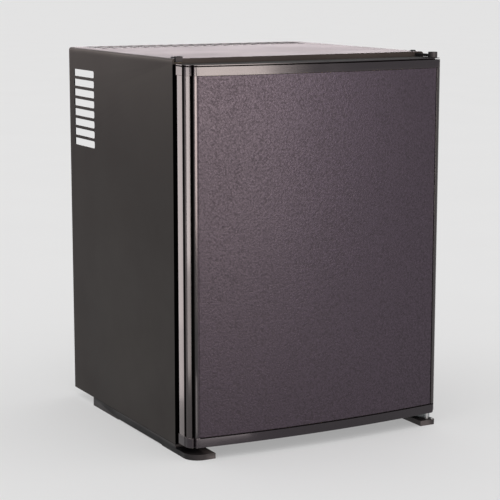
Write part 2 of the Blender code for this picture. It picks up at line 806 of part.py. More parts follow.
def build_hinge(steel, dark):
    """Top arm with its boss and pin, the arm's screw, and the bottom bracket with its pin."""
    arm_top = HEIGHT - ARM_DROP
    arm_low = arm_top - ARM_THICKNESS
    half = ARM_WIDTH / 2
    tail = FRONT + ARM_TAIL
    outline = rectangle((AXIS_X - half, AXIS_Y), (AXIS_X + half, tail))
    arm = solid("hinge_arm_top", prism(outline, "Z", arm_low, arm_top), steel)
    add(arm, rod("Z", (AXIS_X, AXIS_Y), BOSS_RADIUS, DOOR_TOP + FIT, HEIGHT + BOSS_RISE))
    add(arm, rod("Z", (AXIS_X, AXIS_Y), PIN_RADIUS, DOOR_TOP - PIN_REACH, DOOR_TOP + SHEET))
    hole = SCREW_RADIUS + FIT
    seat = (AXIS_X, FRONT + SCREW_SETBACK)
    cut(arm, rod("Z", seat, hole, arm_low - SHEET, arm_top + SHEET, SCREW_SIDES))
    screw("hinge_screw_top", AXIS_X, dark)
    plate_low = TOE_THICKNESS + FIT
    leaf_back = FRONT - FIT
    right = RIGHT - SHEET
    left = right - BOTTOM_BLOCK_WIDTH
    plate = [(right, leaf_back), (left, leaf_back), (left, leaf_back - BOTTOM_PLATE)]
    plate += arc((AXIS_X, AXIS_Y), COLLAR_RADIUS, 200, 160, 8)
    plate += [(right, leaf_back - BOTTOM_BLOCK_WIDTH)]
    block_top = DOOR_BOTTOM - SHEET
    bracket = solid("hinge_bracket_bottom", prism(plate, "Z", plate_low, block_top), steel)
    leaf = (left, leaf_back - BOTTOM_PLATE, plate_low)
    add(bracket, box(leaf, (right, leaf_back, CABINET_BOTTOM + BOTTOM_LEAF_HEIGHT)))
    add(bracket, rod("Z", (AXIS_X, AXIS_Y), COLLAR_RADIUS - FIT, block_top - SHEET, DOOR_BOTTOM - FIT))
    add(bracket, rod("Z", (AXIS_X, AXIS_Y), PIN_RADIUS, block_top - SHEET, DOOR_BOTTOM + PIN_REACH))
    return bracket


def cap_outline():
    """Outline of an end cap: both side profiles joined by the bowed front."""
    front = bowed_line(PANEL_LEFT, PANEL_RIGHT, DOOR_DEPTH)
    left = from_left(grip_outline())
    right = from_right(strip_outline())
    return left + front + right[::-1]


def cap_core():
    """Plain outline inside the top cap's shadow seam."""
    depth = DOOR_DEPTH - TOP_SEAM_DEPTH
    inset = GRIP_RADIUS + TOP_SEAM_DEPTH
    left = from_left([(TOP_SEAM_DEPTH, TOP_SEAM_DEPTH), (TOP_SEAM_DEPTH, SIDE_FLAT), (inset, depth - BEAD)])
    front = bowed_line(LEFT + inset + BEAD, RIGHT - inset, depth)
    right = from_right([(RIGHT_RADIUS, depth - RIGHT_RADIUS), (TOP_SEAM_DEPTH, TOP_SEAM_DEPTH)])
    return left + front + right


def build_caps(plastic, door):
    """Moulded end caps with a pin socket at both ends, so the door can hang either way."""
    bottom = solid("door_cap_bottom", prism(cap_outline(), "Z", DOOR_BOTTOM, PANEL_BOTTOM), plastic, door)
    lid = DOOR_TOP - TOP_LID
    seam = lid - TOP_SEAM
    top = solid("door_cap_top", prism(cap_outline(), "Z", PANEL_TOP, seam), plastic, door)
    add(top, prism(cap_core(), "Z", seam - SHEET, lid + TOP_LID / 2))
    add(top, prism(cap_outline(), "Z", lid, DOOR_TOP))
    hole = PIN_RADIUS + PIN_CLEARANCE
    depth = PIN_REACH + 4 * FIT
    for x in (-AXIS_X, AXIS_X):
        cut(bottom, rod("Z", (x, AXIS_Y), hole, DOOR_BOTTOM - SHEET, DOOR_BOTTOM + depth))
        cut(top, rod("Z", (x, AXIS_Y), hole, DOOR_TOP - depth, DOOR_TOP + SHEET))


def build_profiles(metal, door):
    """Extruded upright profiles: the grip side on the left and the plain hinge side."""
    low = PANEL_BOTTOM + FIT
    high = PANEL_TOP - FIT
    wall = PROFILE_WALL
    ledge = PANEL_FACE - PANEL_SHEET - FIT
    corner = SIDE_FLAT + SIDE_GROOVE
    groove_back = corner + GRIP_RISE * math.sin(math.radians(GRIP_SWEEP)) - GRIP_GROOVE_DEPTH - wall
    grip = grip_outline() + [
        (BEAD_END, ledge),
        (BEAD_END + PANEL_LEDGE, ledge),
        (BEAD_END + PANEL_LEDGE, ledge - wall),
        (BEAD_END - BEAD, groove_back),
        (GRIP_END + GRIP_LIP, groove_back),
        (wall + SIDE_GROOVE_DEPTH * 0.5, corner),
        (wall + SIDE_GROOVE_DEPTH * 0.5, SIDE_FLAT - wall),
        (wall, SIDE_FLAT - 2 * wall),
        (wall, wall),
        (PROFILE_LIP, wall),
        (PROFILE_LIP, 0.0),
    ]
    smooth(solid("door_profile_grip", prism(from_left(grip), "Z", low, high), metal, door))
    inner = DOOR_DEPTH - RIGHT_RADIUS
    strip = strip_outline() + [
        (RIGHT_STRIP, ledge),
        (RIGHT_STRIP + PANEL_LEDGE, ledge),
        (RIGHT_STRIP + PANEL_LEDGE, ledge - wall),
        (RIGHT_STRIP, ledge - 2 * wall),
        (wall, inner - wall),
        (wall, wall),
        (PROFILE_LIP, wall),
        (PROFILE_LIP, 0.0),
    ]
    smooth(solid("door_profile_hinge", prism(from_right(strip), "Z", low, high), metal, door))


def build_panel(grain, foam_finish, door):
    """Bowed front panel and the foam core behind it."""
    low = PANEL_BOTTOM + FIT
    high = PANEL_TOP - FIT
    front = bowed_line(PANEL_LEFT, PANEL_RIGHT, PANEL_FACE)
    back = bowed_line(PANEL_LEFT, PANEL_RIGHT, PANEL_FACE - PANEL_SHEET)
    smooth(solid("door_panel", prism(front + back[::-1], "Z", low, high), grain, door))
    wall = PROFILE_WALL + 2 * FIT
    ledge = PANEL_FACE - PANEL_SHEET - FIT
    corner = SIDE_FLAT + SIDE_GROOVE
    rim = corner + GRIP_RISE * math.sin(math.radians(GRIP_SWEEP)) - GRIP_GROOVE_DEPTH
    shoulder = rim - PROFILE_WALL - 3 * FIT
    left_in = BEAD_END + PANEL_LEDGE + FIT
    side = wall + SIDE_GROOVE_DEPTH * 0.5
    left = from_left([
        (side, wall),
        (side, corner - 2 * FIT),
        (GRIP_END + 2 * GRIP_LIP, shoulder),
        (BEAD_END - BEAD, shoulder),
        (left_in, ledge - PROFILE_WALL - 3 * FIT),
    ])
    right_in = RIGHT_STRIP + PANEL_LEDGE + FIT
    right = from_right([
        (right_in, ledge - PROFILE_WALL - 3 * FIT),
        (RIGHT_STRIP, ledge - 2 * PROFILE_WALL - 3 * FIT),
        (wall, DOOR_DEPTH - RIGHT_RADIUS - PROFILE_WALL - 3 * FIT),
        (wall, wall),
    ])
    core_front = bowed_line(LEFT + left_in, RIGHT - right_in, ledge)
    core = left + core_front + right
    solid("door_foam", prism(core, "Z", low, high), foam_finish, door)


def build_door_liner(plastic, door):
    """White inner door liner: flat sheet, raised dyke and the lugs that carry the racks."""
    half = WIDTH / 2 - PROFILE_LIP - FIT
    plate = rectangle((-half, PANEL_BOTTOM + FIT), (half, PANEL_TOP - FIT))
    front = DOOR_BACK - PROFILE_WALL
    liner = solid("door_liner", prism(plate, "Y", front, DOOR_BACK), plastic, door, (AXIS_X, AXIS_Y, 0))
    outer = rounded_rect((-DYKE_HALF, DYKE_BOTTOM), (DYKE_HALF, DYKE_TOP), DYKE_RADIUS)
    add(liner, prism(outer, "Y", DOOR_BACK - SHEET, DOOR_BACK + DYKE_DEPTH))
    inner_half = DYKE_HALF - DYKE_WALL
    well_low = (-inner_half, DYKE_BOTTOM + DYKE_WALL)
    well = rounded_rect(well_low, (inner_half, DYKE_TOP - DYKE_WALL), DYKE_RADIUS / 2)
    cut(liner, prism(well, "Y", DOOR_BACK, DOOR_BACK + DYKE_DEPTH + CUT_PAST))
    for floor in RACK_FLOORS:
        for side in (-1, 1):
            near = side * (inner_half - LUG_REACH)
            far = side * (inner_half + SHEET)
            low = (min(near, far), DOOR_BACK + FIT, floor)
            high = (max(near, far), DOOR_BACK + LUG_DEPTH, floor + LUG_HEIGHT)
            add(liner, box(low, high))
    return liner


def build_gasket(rubber, door):
    """Magnetic gasket: a foot on the door liner, a waist and the magnet head."""
    depth = DOOR_GAP - 2 * FIT
    waist = GASKET_WAIST
    section = [
        (0.0, 0.0),
        (0.0, depth * 0.2),
        (waist, depth * 0.3),
        (waist, depth * 0.6),
        (0.0, depth * 0.7),
        (0.0, depth),
        (GASKET_WIDTH, depth),
        (GASKET_WIDTH, depth * 0.7),
        (GASKET_WIDTH - waist, depth * 0.6),
        (GASKET_WIDTH - waist, depth * 0.3),
        (GASKET_WIDTH, depth * 0.2),
        (GASKET_WIDTH, 0.0),
    ]
    half = WIDTH / 2 - GASKET_EDGE
    low = PANEL_BOTTOM + 5 * FIT
    high = PANEL_TOP - 5 * FIT
    shape = swept_frame(section, half, low, high, GASKET_RADIUS, DOOR_BACK + FIT)
    return solid("door_gasket", shape, rubber, door)


def build_rack(index, plastic, door):
    """Bottle rack: an open moulded tray whose side hooks drop over the door's lugs."""
    inner_half = DYKE_HALF - DYKE_WALL
    half = inner_half - LUG_REACH - FIT
    floor = RACK_FLOORS[index]
    height = RACK_HEIGHTS[index]
    near = DOOR_BACK + FIT
    far = DOOR_BACK + DYKE_DEPTH + RACK_REACH
    outline = [(-half, near), (half, near)]
    outline += arc((half - RACK_RADIUS, far - RACK_RADIUS), RACK_RADIUS, 0, 90, 4)
    outline += arc((RACK_RADIUS - half, far - RACK_RADIUS), RACK_RADIUS, 90, 90, 4)
    pivot = (0, DOOR_BACK, floor)
    name = "door_rack_" + RACK_NAMES[index]
    rack = solid(name, prism(outline, "Z", floor, floor + height), plastic, door, pivot)
    wall = RACK_WALL
    inside = [(-half + wall, near + wall), (half - wall, near + wall)]
    radius = RACK_RADIUS - wall
    inside += arc((half - RACK_RADIUS, far - RACK_RADIUS), radius, 0, 90, 4)
    inside += arc((RACK_RADIUS - half, far - RACK_RADIUS), radius, 90, 90, 4)
    cut(rack, prism(inside, "Z", floor + wall, floor + height + CUT_PAST))
    window_half = half - RACK_RADIUS - RACK_WINDOW_INSET
    window = (-window_half, far - 2 * wall, floor + height * RACK_SILL)
    cut(rack, box(window, (window_half, far + wall, floor + height - RACK_RAIL)))
    seat = floor + LUG_HEIGHT + FIT
    for side in (-1, 1):
        start = side * (half - wall / 2)
        end = side * (inner_half - 2 * FIT)
        left, right = min(start, end), max(start, end)
        hook = DOOR_BACK + LUG_DEPTH + FIT
        add(rack, box((left, near + wall, seat), (right, hook + HOOK_THICKNESS, seat + wall)))
        add(rack, box((left, hook, floor), (right, hook + HOOK_THICKNESS, seat + SHEET)))
    return rack


def build_evaporator(aluminium, plastic):
    """Finned cooling plate on the back wall and the drip channel below it."""
    back = CHAMBER_BACK - FIT
    high = CHAMBER_TOP - EVAPORATOR_DROP
    low = high - EVAPORATOR_HEIGHT
    width = (FIN_COUNT - 1) * FIN_PITCH + FIN_THICKNESS
    left = EVAPORATOR_LEFT - CHAMBER_HALF
    base = back - EVAPORATOR_BASE
    outline = [(left + width, back), (left, back)]
    for index in range(FIN_COUNT):
        x = left + index * FIN_PITCH
        if index:
            outline.append((x, base))
        outline.append((x, base - FIN_DEPTH))
        outline.append((x + FIN_THICKNESS, base - FIN_DEPTH))
        if index < FIN_COUNT - 1:
            outline.append((x + FIN_THICKNESS, base))
    solid("evaporator_fins", prism(outline, "Z", low, high), aluminium)
    trough_high = low - TROUGH_GAP
    trough_low = trough_high - TROUGH_HEIGHT
    start = (left - TROUGH_OVERHANG, back - TROUGH_DEPTH, trough_low)
    end = (left + width + TROUGH_OVERHANG, back, trough_high)
    trough = solid("drip_channel", box(start, end), plastic)
    inside = (start[0] + TROUGH_WALL, start[1] + TROUGH_WALL, trough_low + TROUGH_WALL)
    cut(trough, box(inside, (end[0] - TROUGH_WALL, back - TROUGH_WALL, trough_high + CUT_PAST)))
    spout = ((start[0] + end[0]) / 2, back - SPOUT_SETBACK)
    add(trough, rod("Z", spout, SPOUT_RADIUS, trough_low - SPOUT_REACH, trough_low + SHEET, SCREW_SIDES))
    cut(trough, rod("Z", spout, SPOUT_BORE, trough_low - CUT_PAST, trough_low + CUT_PAST / 2, SCREW_SIDES))
    return trough


def plunger_place():
    """Axis of the light switch plunger as (x, z)."""
    return HOUSING_LEFT + HOUSING_WIDTH * PLUNGER_SHARE, HOUSING_BOTTOM + HOUSING_HEIGHT / 2


def knob_place():
    """Axis of the thermostat knob as (x, z)."""
    return HOUSING_LEFT + HOUSING_WIDTH * KNOB_SHARE, HOUSING_BOTTOM + HOUSING_HEIGHT / 2


def build_controls(white, clear, grey):
    """Control housing under the ceiling, with its lens, thermostat knob and light switch."""
    top = CHAMBER_TOP - FIT
    front = FRONT + HOUSING_FRONT
    outline = rounded_rect((HOUSING_LEFT, HOUSING_BOTTOM), (HOUSING_RIGHT, top), HOUSING_CORNER)
    housing = solid("control_housing", prism(outline, "Y", front, FRONT + HOUSING_REAR), white)
    hole = PLUNGER_RADIUS + PIN_CLEARANCE
    cut(housing, rod("Y", plunger_place(), hole, front - SHEET, front + PLUNGER_HOLE_DEPTH, BORE_SIDES))
    knob_x, knob_z = knob_place()
    socket = SPINDLE_RADIUS + PIN_CLEARANCE
    end = front + SPINDLE_REACH + SHEET
    cut(housing, rod("Y", (knob_x, knob_z), socket, front - SHEET, end, BORE_SIDES))
    middle = (FRONT + HOUSING_FRONT + FRONT + HOUSING_REAR) / 2
    lens_low = HOUSING_BOTTOM + (HOUSING_HEIGHT - LENS_HEIGHT) / 2
    edge = HOUSING_LEFT - FIT
    profile = [(edge, lens_low), (edge, lens_low + LENS_HEIGHT)]
    profile += [(edge - LENS_BULGE * 0.7, lens_low + LENS_HEIGHT * 0.85)]
    profile += [(edge - LENS_BULGE, lens_low + LENS_HEIGHT * 0.5)]
    profile += [(edge - LENS_BULGE * 0.7, lens_low + LENS_HEIGHT * 0.15)]
    half = LENS_LENGTH / 2
    solid("light_lens", prism(profile, "Y", middle - half, middle + half), clear)
    outline = []
    for index in range(KNOB_FLUTES * 2):
        radius = KNOB_RADIUS - (KNOB_FLUTE_DEPTH if index % 2 else 0.0)
        angle = math.pi * index / KNOB_FLUTES
        outline.append((knob_x + radius * math.cos(angle), knob_z + radius * math.sin(angle)))
    pivot = (knob_x, front, knob_z)
    face = front - FIT - KNOB_DEPTH
    knob = solid("thermostat_knob", prism(outline, "Y", face, front - FIT), grey, None, pivot)
    add(knob, rod("Y", (knob_x, knob_z), SPINDLE_RADIUS, face + SHEET, front + SPINDLE_REACH, BORE_SIDES))
    mark = (knob_x - POINTER_WIDTH / 2, face - SHEET, knob_z + KNOB_RADIUS * 0.3)
    cut(knob, box(mark, (knob_x + POINTER_WIDTH / 2, face + POINTER_WIDTH, knob_z + KNOB_RADIUS * 0.85)))
    return knob


def build_plunger(white):
    """Sprung plunger of the light switch, standing just clear of the closed door's dyke."""
    x, z = plunger_place()
    front = FRONT + HOUSING_FRONT
    tip = DOOR_BACK + DYKE_DEPTH + 2 * FIT
    tail = front + PLUNGER_HOLE_DEPTH - PLUNGER_TRAVEL - 4 * FIT
    profile = (
        (PLUNGER_RADIUS * 0.6, tip),
        (PLUNGER_RADIUS, tip + PLUNGER_RADIUS * 0.5),
        (PLUNGER_RADIUS, tail),
    )
    shape = turned("Y", (x, z), profile, BORE_SIDES)
    return smooth(solid("light_switch", shape, white, None, (x, front, z)))


def build_shelf(index, name, wire):
    """Wire shelf: a round frame with straight wires, lying in the liner's ledges."""
    level = ledge_level(index) + LEDGE_HEIGHT + FIT
    z = level + SHELF_FRAME_RADIUS
    half = CHAMBER_HALF - SHELF_SIDE_CLEARANCE - SHELF_FRAME_RADIUS
    front = FRONT + SHELF_FRONT
    back = CHAMBER_BACK - SHELF_REAR_GAP
    bars = []
    edge = SHELF_FRAME_RADIUS
    for y in (front, (front + back) / 2, back):
        bars.append(rod("X", (y, z), edge, -half - edge, half + edge, PIPE_SIDES))
    for x in (-half, half):
        bars.append(rod("Y", (x, z), edge * 0.98, front - edge * 0.5, back + edge * 0.5, PIPE_SIDES))
    top = z + edge - SHELF_WIRE_RADIUS * 0.6
    for step in range(SHELF_WIRES):
        x = half * (2 * (step + 1) / (SHELF_WIRES + 1) - 1)
        start, end = front - edge * 0.4, back + edge * 0.4
        bars.append(rod("Y", (x, top), SHELF_WIRE_RADIUS, start, end, WIRE_SIDES))
    pivot = (0, front, z)
    shelf = solid(name, bars[0], wire, None, pivot)
    for bar in bars[1:]:
        add(shelf, bar)
    return shelf


def build_brackets(steel):
    """Hat-section straps across the rear panel that carry the cooling unit."""
    wall = PANEL_BACK_FACE + FIT
    face = wall + UNIT_STANDOFF
    for index, level in enumerate(BRACKET_LEVELS):
        half = BRACKET_HEIGHT / 2
        sheet = BRACKET_SHEET
        outline = [
            (wall, level - half - BRACKET_FLANGE),
            (wall + sheet, level - half - BRACKET_FLANGE),
            (wall + sheet, level - half - sheet),
            (face, level - half),
            (face, level + half),
            (wall + sheet, level + half + sheet),
            (wall + sheet, level + half + BRACKET_FLANGE),
            (wall, level + half + BRACKET_FLANGE),
            (wall, level + half),
            (face - sheet, level + half - sheet),
            (face - sheet, level - half + sheet),
            (wall, level - half),
        ]
        solid("unit_bracket_" + str(index + 1), prism(outline, "X", -BRACKET_END, BRACKET_END), steel)


def build_unit(black, black_jacket, alloy):
    """Boiler jacket, riser, finned condenser, absorber coil and absorber vessel."""
    profile = (
        (JACKET_RADIUS - JACKET_CHAMFER, JACKET_BOTTOM),
        (JACKET_RADIUS, JACKET_BOTTOM + JACKET_CHAMFER),
        (JACKET_RADIUS, JACKET_TOP - JACKET_CHAMFER),
        (JACKET_RADIUS - JACKET_CHAMFER, JACKET_TOP),
    )
    jacket = turned("Z", (JACKET_X, JACKET_Y), profile, VESSEL_SIDES)
    smooth(solid("boiler_jacket", jacket, black_jacket))
    half = VESSEL_LENGTH / 2
    profile = (
        (VESSEL_RADIUS * 0.55, VESSEL_X - half),
        (VESSEL_RADIUS * 0.9, VESSEL_X - half + DOME_SHOULDER),
        (VESSEL_RADIUS, VESSEL_X - half + DOME_DEPTH),
        (VESSEL_RADIUS, VESSEL_X + half - DOME_DEPTH),
        (VESSEL_RADIUS * 0.9, VESSEL_X + half - DOME_SHOULDER),
        (VESSEL_RADIUS * 0.55, VESSEL_X + half),
    )
    vessel = turned("X", (VESSEL_Y, VESSEL_Z), profile, VESSEL_SIDES)
    smooth(solid("absorber_vessel", vessel, black))
    riser = [
        (JACKET_X, JACKET_Y, JACKET_TOP + FIT),
        (JACKET_X, JACKET_Y, CONDENSER_Z),
        (CONDENSER_LEFT - FIT, JACKET_Y, CONDENSER_Z),
    ]
    pipe("riser_pipe", rounded_path(riser, PIPE_BEND), PIPE_RADIUS, black)
    condenser = solid(
        "condenser",
        rod("X", (JACKET_Y, CONDENSER_Z), PIPE_RADIUS, CONDENSER_LEFT, CONDENSER_RIGHT, SCREW_SIDES),
        alloy,
    )
    fin_half = CONDENSER_FIN_HEIGHT / 2
    span = (CONDENSER_FINS - 1) * CONDENSER_FIN_PITCH
    first = (CONDENSER_LEFT + CONDENSER_RIGHT - span) / 2
    fin_depth = 2 * (JACKET_Y - UNIT_FACE)
    outline = rounded_rect(
        (UNIT_FACE, CONDENSER_Z - fin_half),
        (UNIT_FACE + fin_depth, CONDENSER_Z + fin_half),
        CONDENSER_FIN_CORNER,
        SLOT_STEPS,
    )
    for index in range(CONDENSER_FINS):
        x = first + index * CONDENSER_FIN_PITCH
        half = CONDENSER_FIN_SHEET / 2
        add(condenser, prism(outline, "X", x - half, x + half))
    return build_coil(black)


def build_coil(black):
    """Absorber coil in one tube, and the pipe between the condenser and the evaporator plug."""
    turn = COIL_PITCH / 2
    foot = Vector((VESSEL_X + VESSEL_LENGTH * COIL_FOOT_SHARE, COIL_Y, VESSEL_Z + VESSEL_RADIUS + FIT))
    corner = Vector((foot.x, COIL_Y, COIL_BOTTOM))
    points = [foot] + rounded_path([foot, corner, (COIL_LEFT, COIL_Y, COIL_BOTTOM)], turn)[1:-1]
    for index in range(COIL_PASSES - 1):
        level = COIL_BOTTOM + index * COIL_PITCH
        side = -1 if index % 2 == 0 else 1
        x = COIL_LEFT if side < 0 else COIL_RIGHT
        for step in range(TURN_STEPS + 1):
            angle = math.radians(-90 + 180 * step / TURN_STEPS)
            reach = side * turn * math.cos(angle)
            points.append(Vector((x + reach, COIL_Y, level + turn + turn * math.sin(angle))))
    last = COIL_BOTTOM + (COIL_PASSES - 1) * COIL_PITCH
    plug_face = PANEL_BACK_FACE + FIT + PLUG_THICKNESS + FIT
    outlet_x = PLUG_X - PLUG_WIDTH / 4
    outlet_z = PLUG_Z - PLUG_HEIGHT / 4
    tail = [points[-1], (outlet_x, COIL_Y, last), (outlet_x, COIL_Y, outlet_z)]
    tail.append((outlet_x, plug_face, outlet_z))
    points += rounded_path(tail, COIL_RADIUS * 1.2)[1:]
    pipe("absorber_coil", points, COIL_RADIUS, black)
    inlet_x = PLUG_X + PLUG_WIDTH / 4
    inlet_z = PLUG_Z + PLUG_HEIGHT / 4
    feed = [
        (CONDENSER_RIGHT + FIT, JACKET_Y, CONDENSER_Z),
        (inlet_x + PIPE_BEND, JACKET_Y, CONDENSER_Z),
        (inlet_x + PIPE_BEND, JACKET_Y, inlet_z),
        (inlet_x, JACKET_Y, inlet_z),
        (inlet_x, plug_face, inlet_z),
    ]
    return pipe("evaporator_pipe", rounded_path(feed, PIPE_RADIUS), PIPE_RADIUS, black)


def build_rear_fittings(grey, black_plastic, hose):
    """Evaporator plug, evaporation tray, drain tube, terminal box and mains inlet."""
    wall = PANEL_BACK_FACE + FIT
    outline = rounded_rect(
        (PLUG_X - PLUG_WIDTH / 2, PLUG_Z - PLUG_HEIGHT / 2),
        (PLUG_X + PLUG_WIDTH / 2, PLUG_Z + PLUG_HEIGHT / 2),
        PLUG_CORNER,
    )
    solid("evaporator_plug", prism(outline, "Y", wall, wall + PLUG_THICKNESS), grey)
    tray_low = VESSEL_Z + VESSEL_RADIUS + FIT
    start = (TRAY_X - TRAY_LENGTH / 2, VESSEL_Y - TRAY_WIDTH / 2, tray_low)
    end = (TRAY_X + TRAY_LENGTH / 2, VESSEL_Y + TRAY_WIDTH / 2, tray_low + TRAY_HEIGHT)
    outline = rounded_rect(start[:2], end[:2], TRAY_CORNER)
    tray = solid("evaporation_tray", prism(outline, "Z", start[2], end[2]), black_plastic)
    low = (start[0] + TRAY_WALL, start[1] + TRAY_WALL)
    inside = rounded_rect(low, (end[0] - TRAY_WALL, end[1] - TRAY_WALL), TRAY_CORNER - TRAY_WALL)
    cut(tray, prism(inside, "Z", tray_low + TRAY_WALL, end[2] + CUT_PAST))
    rim = end[2] + DRAIN_RADIUS + FIT
    route = [(TRAY_X, wall, rim), (TRAY_X, VESSEL_Y, rim)]
    route.append((TRAY_X, VESSEL_Y, tray_low + TRAY_HEIGHT * 0.5))
    pipe("drain_tube", rounded_path(route, DRAIN_RADIUS * 1.3), DRAIN_RADIUS, hose)
    left, right = BOX_LEFT, BOX_RIGHT
    high = BOX_BOTTOM + BOX_HEIGHT
    outline = rounded_rect((left, BOX_BOTTOM), (right, high), BOX_CORNER)
    terminal = solid("terminal_box", prism(outline, "Y", wall, wall + BOX_DEPTH), black_plastic)
    middle = ((left + right) / 2, (BOX_BOTTOM + high) / 2)
    half = (INLET_WIDTH / 2, INLET_HEIGHT / 2)
    rear = wall + BOX_DEPTH
    pocket_low = (middle[0] - half[0] - FIT, middle[1] - half[1] - FIT)
    pocket_high = (middle[0] + half[0] + FIT, middle[1] + half[1] + FIT)
    pocket = rectangle(pocket_low, pocket_high)
    cut(terminal, prism(pocket, "Y", rear - INLET_DEPTH - FIT, rear + CUT_PAST))
    outer_low = (middle[0] - half[0], middle[1] - half[1])
    outer = rectangle(outer_low, (middle[0] + half[0], middle[1] + half[1]))
    inlet = solid("mains_inlet", prism(outer, "Y", rear - INLET_DEPTH, rear), grey)
    wide = half[0] - INLET_WALL
    tall = half[1] - INLET_WALL
    mouth = [
        (middle[0] - wide, middle[1] - tall),
        (middle[0] + wide, middle[1] - tall),
        (middle[0] + wide, middle[1] + tall - INLET_CHAMFER),
        (middle[0] + wide - INLET_CHAMFER, middle[1] + tall),
        (middle[0] - wide + INLET_CHAMFER, middle[1] + tall),
        (middle[0] - wide, middle[1] + tall - INLET_CHAMFER),
    ]
    cut(inlet, prism(mouth, "Y", rear - INLET_DEPTH + INLET_WALL, rear + CUT_PAST))
    for place_x, place_z in ((-BLADE_PITCH, -BLADE_RISE), (0.0, BLADE_RISE), (BLADE_PITCH, -BLADE_RISE)):
        x = middle[0] + place_x
        z = middle[1] + place_z
        blade = (x - BLADE_WIDTH / 2, rear - INLET_DEPTH + SHEET, z - BLADE_HEIGHT / 2)
        add(inlet, box(blade, (x + BLADE_WIDTH / 2, rear - INLET_WALL, z + BLADE_HEIGHT / 2)))
    return inlet


def build():
    """Build every piece of the fridge."""
    clear_scene()
    paint = finish("cabinet paint", (0.06, 0.053, 0.05), 0.5)
    grain = finish("grained door skin", (0.1, 0.09, 0.095), 0.55)
    dark_metal = finish("dark polished profile", (0.12, 0.11, 0.11), 0.25, 0.8)
    trim = finish("dark moulded trim", (0.07, 0.062, 0.062), 0.4)
    foot_plastic = finish("foot plastic", (0.04, 0.04, 0.04), 0.55)
    white = finish("white liner plastic", (0.8, 0.8, 0.79), 0.35)
    foam = finish("rigid foam", (0.75, 0.68, 0.5), 0.9)
    black = finish("black pipe paint", (0.02, 0.02, 0.02), 0.5)
    black_paint = finish("black sheet paint", (0.025, 0.025, 0.025), 0.6)
    steel = finish("dark hinge steel", (0.05, 0.05, 0.05), 0.4, 0.7)
    aluminium = finish("evaporator aluminium", (0.7, 0.7, 0.7), 0.35, 0.9)
    zinc = finish("zinc plated strap", (0.5, 0.5, 0.48), 0.4, 0.8)
    rubber = finish("gasket rubber", (0.05, 0.05, 0.05), 0.7)
    clear = finish("clear plastic", (0.85, 0.87, 0.88), 0.15)
    grey = finish("grey plastic", (0.3, 0.31, 0.3), 0.5)
    wire = finish("coated wire", (0.82, 0.82, 0.82), 0.35)
    black_plastic = finish("black plastic", (0.03, 0.03, 0.03), 0.5)
    build_wrap(paint)
    build_shell(paint, foam, black_paint)
    build_liner(white)
    build_foot(-1, LEFT_TOE_WIDTH, LEFT_TOE_RADIUS, foot_plastic)
    build_foot(1, RAIL_WIDTH, RIGHT_TOE_RADIUS, foot_plastic)
    build_plugs(grey, black_plastic)
    build_hinge(steel, black_plastic)
    door = bpy.data.objects.new("door_axis", None)
    door.location = (AXIS_X, AXIS_Y, 0)
    bpy.context.collection.objects.link(door)
    build_caps(trim, door)
    build_profiles(dark_metal, door)
    build_panel(grain, foam, door)
    build_door_liner(white, door)
    build_gasket(rubber, door)
    for index in range(len(RACK_FLOORS)):
        build_rack(index, clear, door)
    build_evaporator(aluminium, white)
    build_controls(white, clear, grey)
    build_plunger(white)
    build_shelf(0, "shelf_lower", wire)
    build_shelf(1, "shelf_upper", wire)
    build_brackets(zinc)
    build_unit(black, black_paint, black)
    build_rear_fittings(grey, black_plastic, black_plastic)


build()
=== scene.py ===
"""Minibar fridge: the finishes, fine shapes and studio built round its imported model."""

import json
import logging
from dataclasses import dataclass
from enum import Enum
from math import cos, pi, radians, sin, sqrt
from typing import Any, Callable, Iterable, Sequence

import bmesh
import bpy
from mathutils import Matrix, Vector

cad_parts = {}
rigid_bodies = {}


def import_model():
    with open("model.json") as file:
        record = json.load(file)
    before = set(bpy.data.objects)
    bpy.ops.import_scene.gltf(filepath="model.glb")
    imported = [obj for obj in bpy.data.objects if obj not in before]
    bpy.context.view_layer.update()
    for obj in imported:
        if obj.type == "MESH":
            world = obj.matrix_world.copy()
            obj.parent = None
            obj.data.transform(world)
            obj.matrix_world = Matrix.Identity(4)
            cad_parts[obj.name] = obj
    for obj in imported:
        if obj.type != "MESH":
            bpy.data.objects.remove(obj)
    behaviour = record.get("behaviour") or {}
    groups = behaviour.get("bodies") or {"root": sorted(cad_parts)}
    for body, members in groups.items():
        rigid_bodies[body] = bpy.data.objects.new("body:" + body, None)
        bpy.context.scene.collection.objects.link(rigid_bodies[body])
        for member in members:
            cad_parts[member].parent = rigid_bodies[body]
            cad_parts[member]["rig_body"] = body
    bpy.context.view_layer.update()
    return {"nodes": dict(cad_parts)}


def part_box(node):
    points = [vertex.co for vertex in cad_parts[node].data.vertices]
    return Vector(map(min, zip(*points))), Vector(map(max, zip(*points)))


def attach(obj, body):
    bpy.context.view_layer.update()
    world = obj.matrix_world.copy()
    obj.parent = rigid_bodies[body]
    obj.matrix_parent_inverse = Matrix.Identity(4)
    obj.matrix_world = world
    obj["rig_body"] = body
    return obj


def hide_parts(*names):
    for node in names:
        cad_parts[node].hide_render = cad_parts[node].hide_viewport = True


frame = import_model()
LOG = logging.getLogger("minibar_fridge")
Mesh = bmesh.types.BMesh
Node = bpy.types.Node
Socket = bpy.types.NodeSocket
Point = tuple[float, float, float]

MM = 0.001
# A tenth of a millimetre: the margin of tests on where a face lies, and the unit of small steps
TENTH = 0.0001
# Points closer than this are one
MERGE = 2e-6
# Folds, in degrees: flatter than the first is flat, over the second is rounded, over the third stays crisp
FLAT, SHARP, CRISP = 0.4, 40, 38
# How much of a face's normal lies along an axis when it faces partly or mostly that way
PARTLY, MOSTLY = 0.5, 0.9
# Moves the patterns from the model's origin to the middle of the fridge
PATTERN_SHIFT = (0.013, 0.031, -0.275)
# How far an edge stands out before its paint begins to rub off, and where it is rubbed most
RUBBED = (0.52, 0.60)


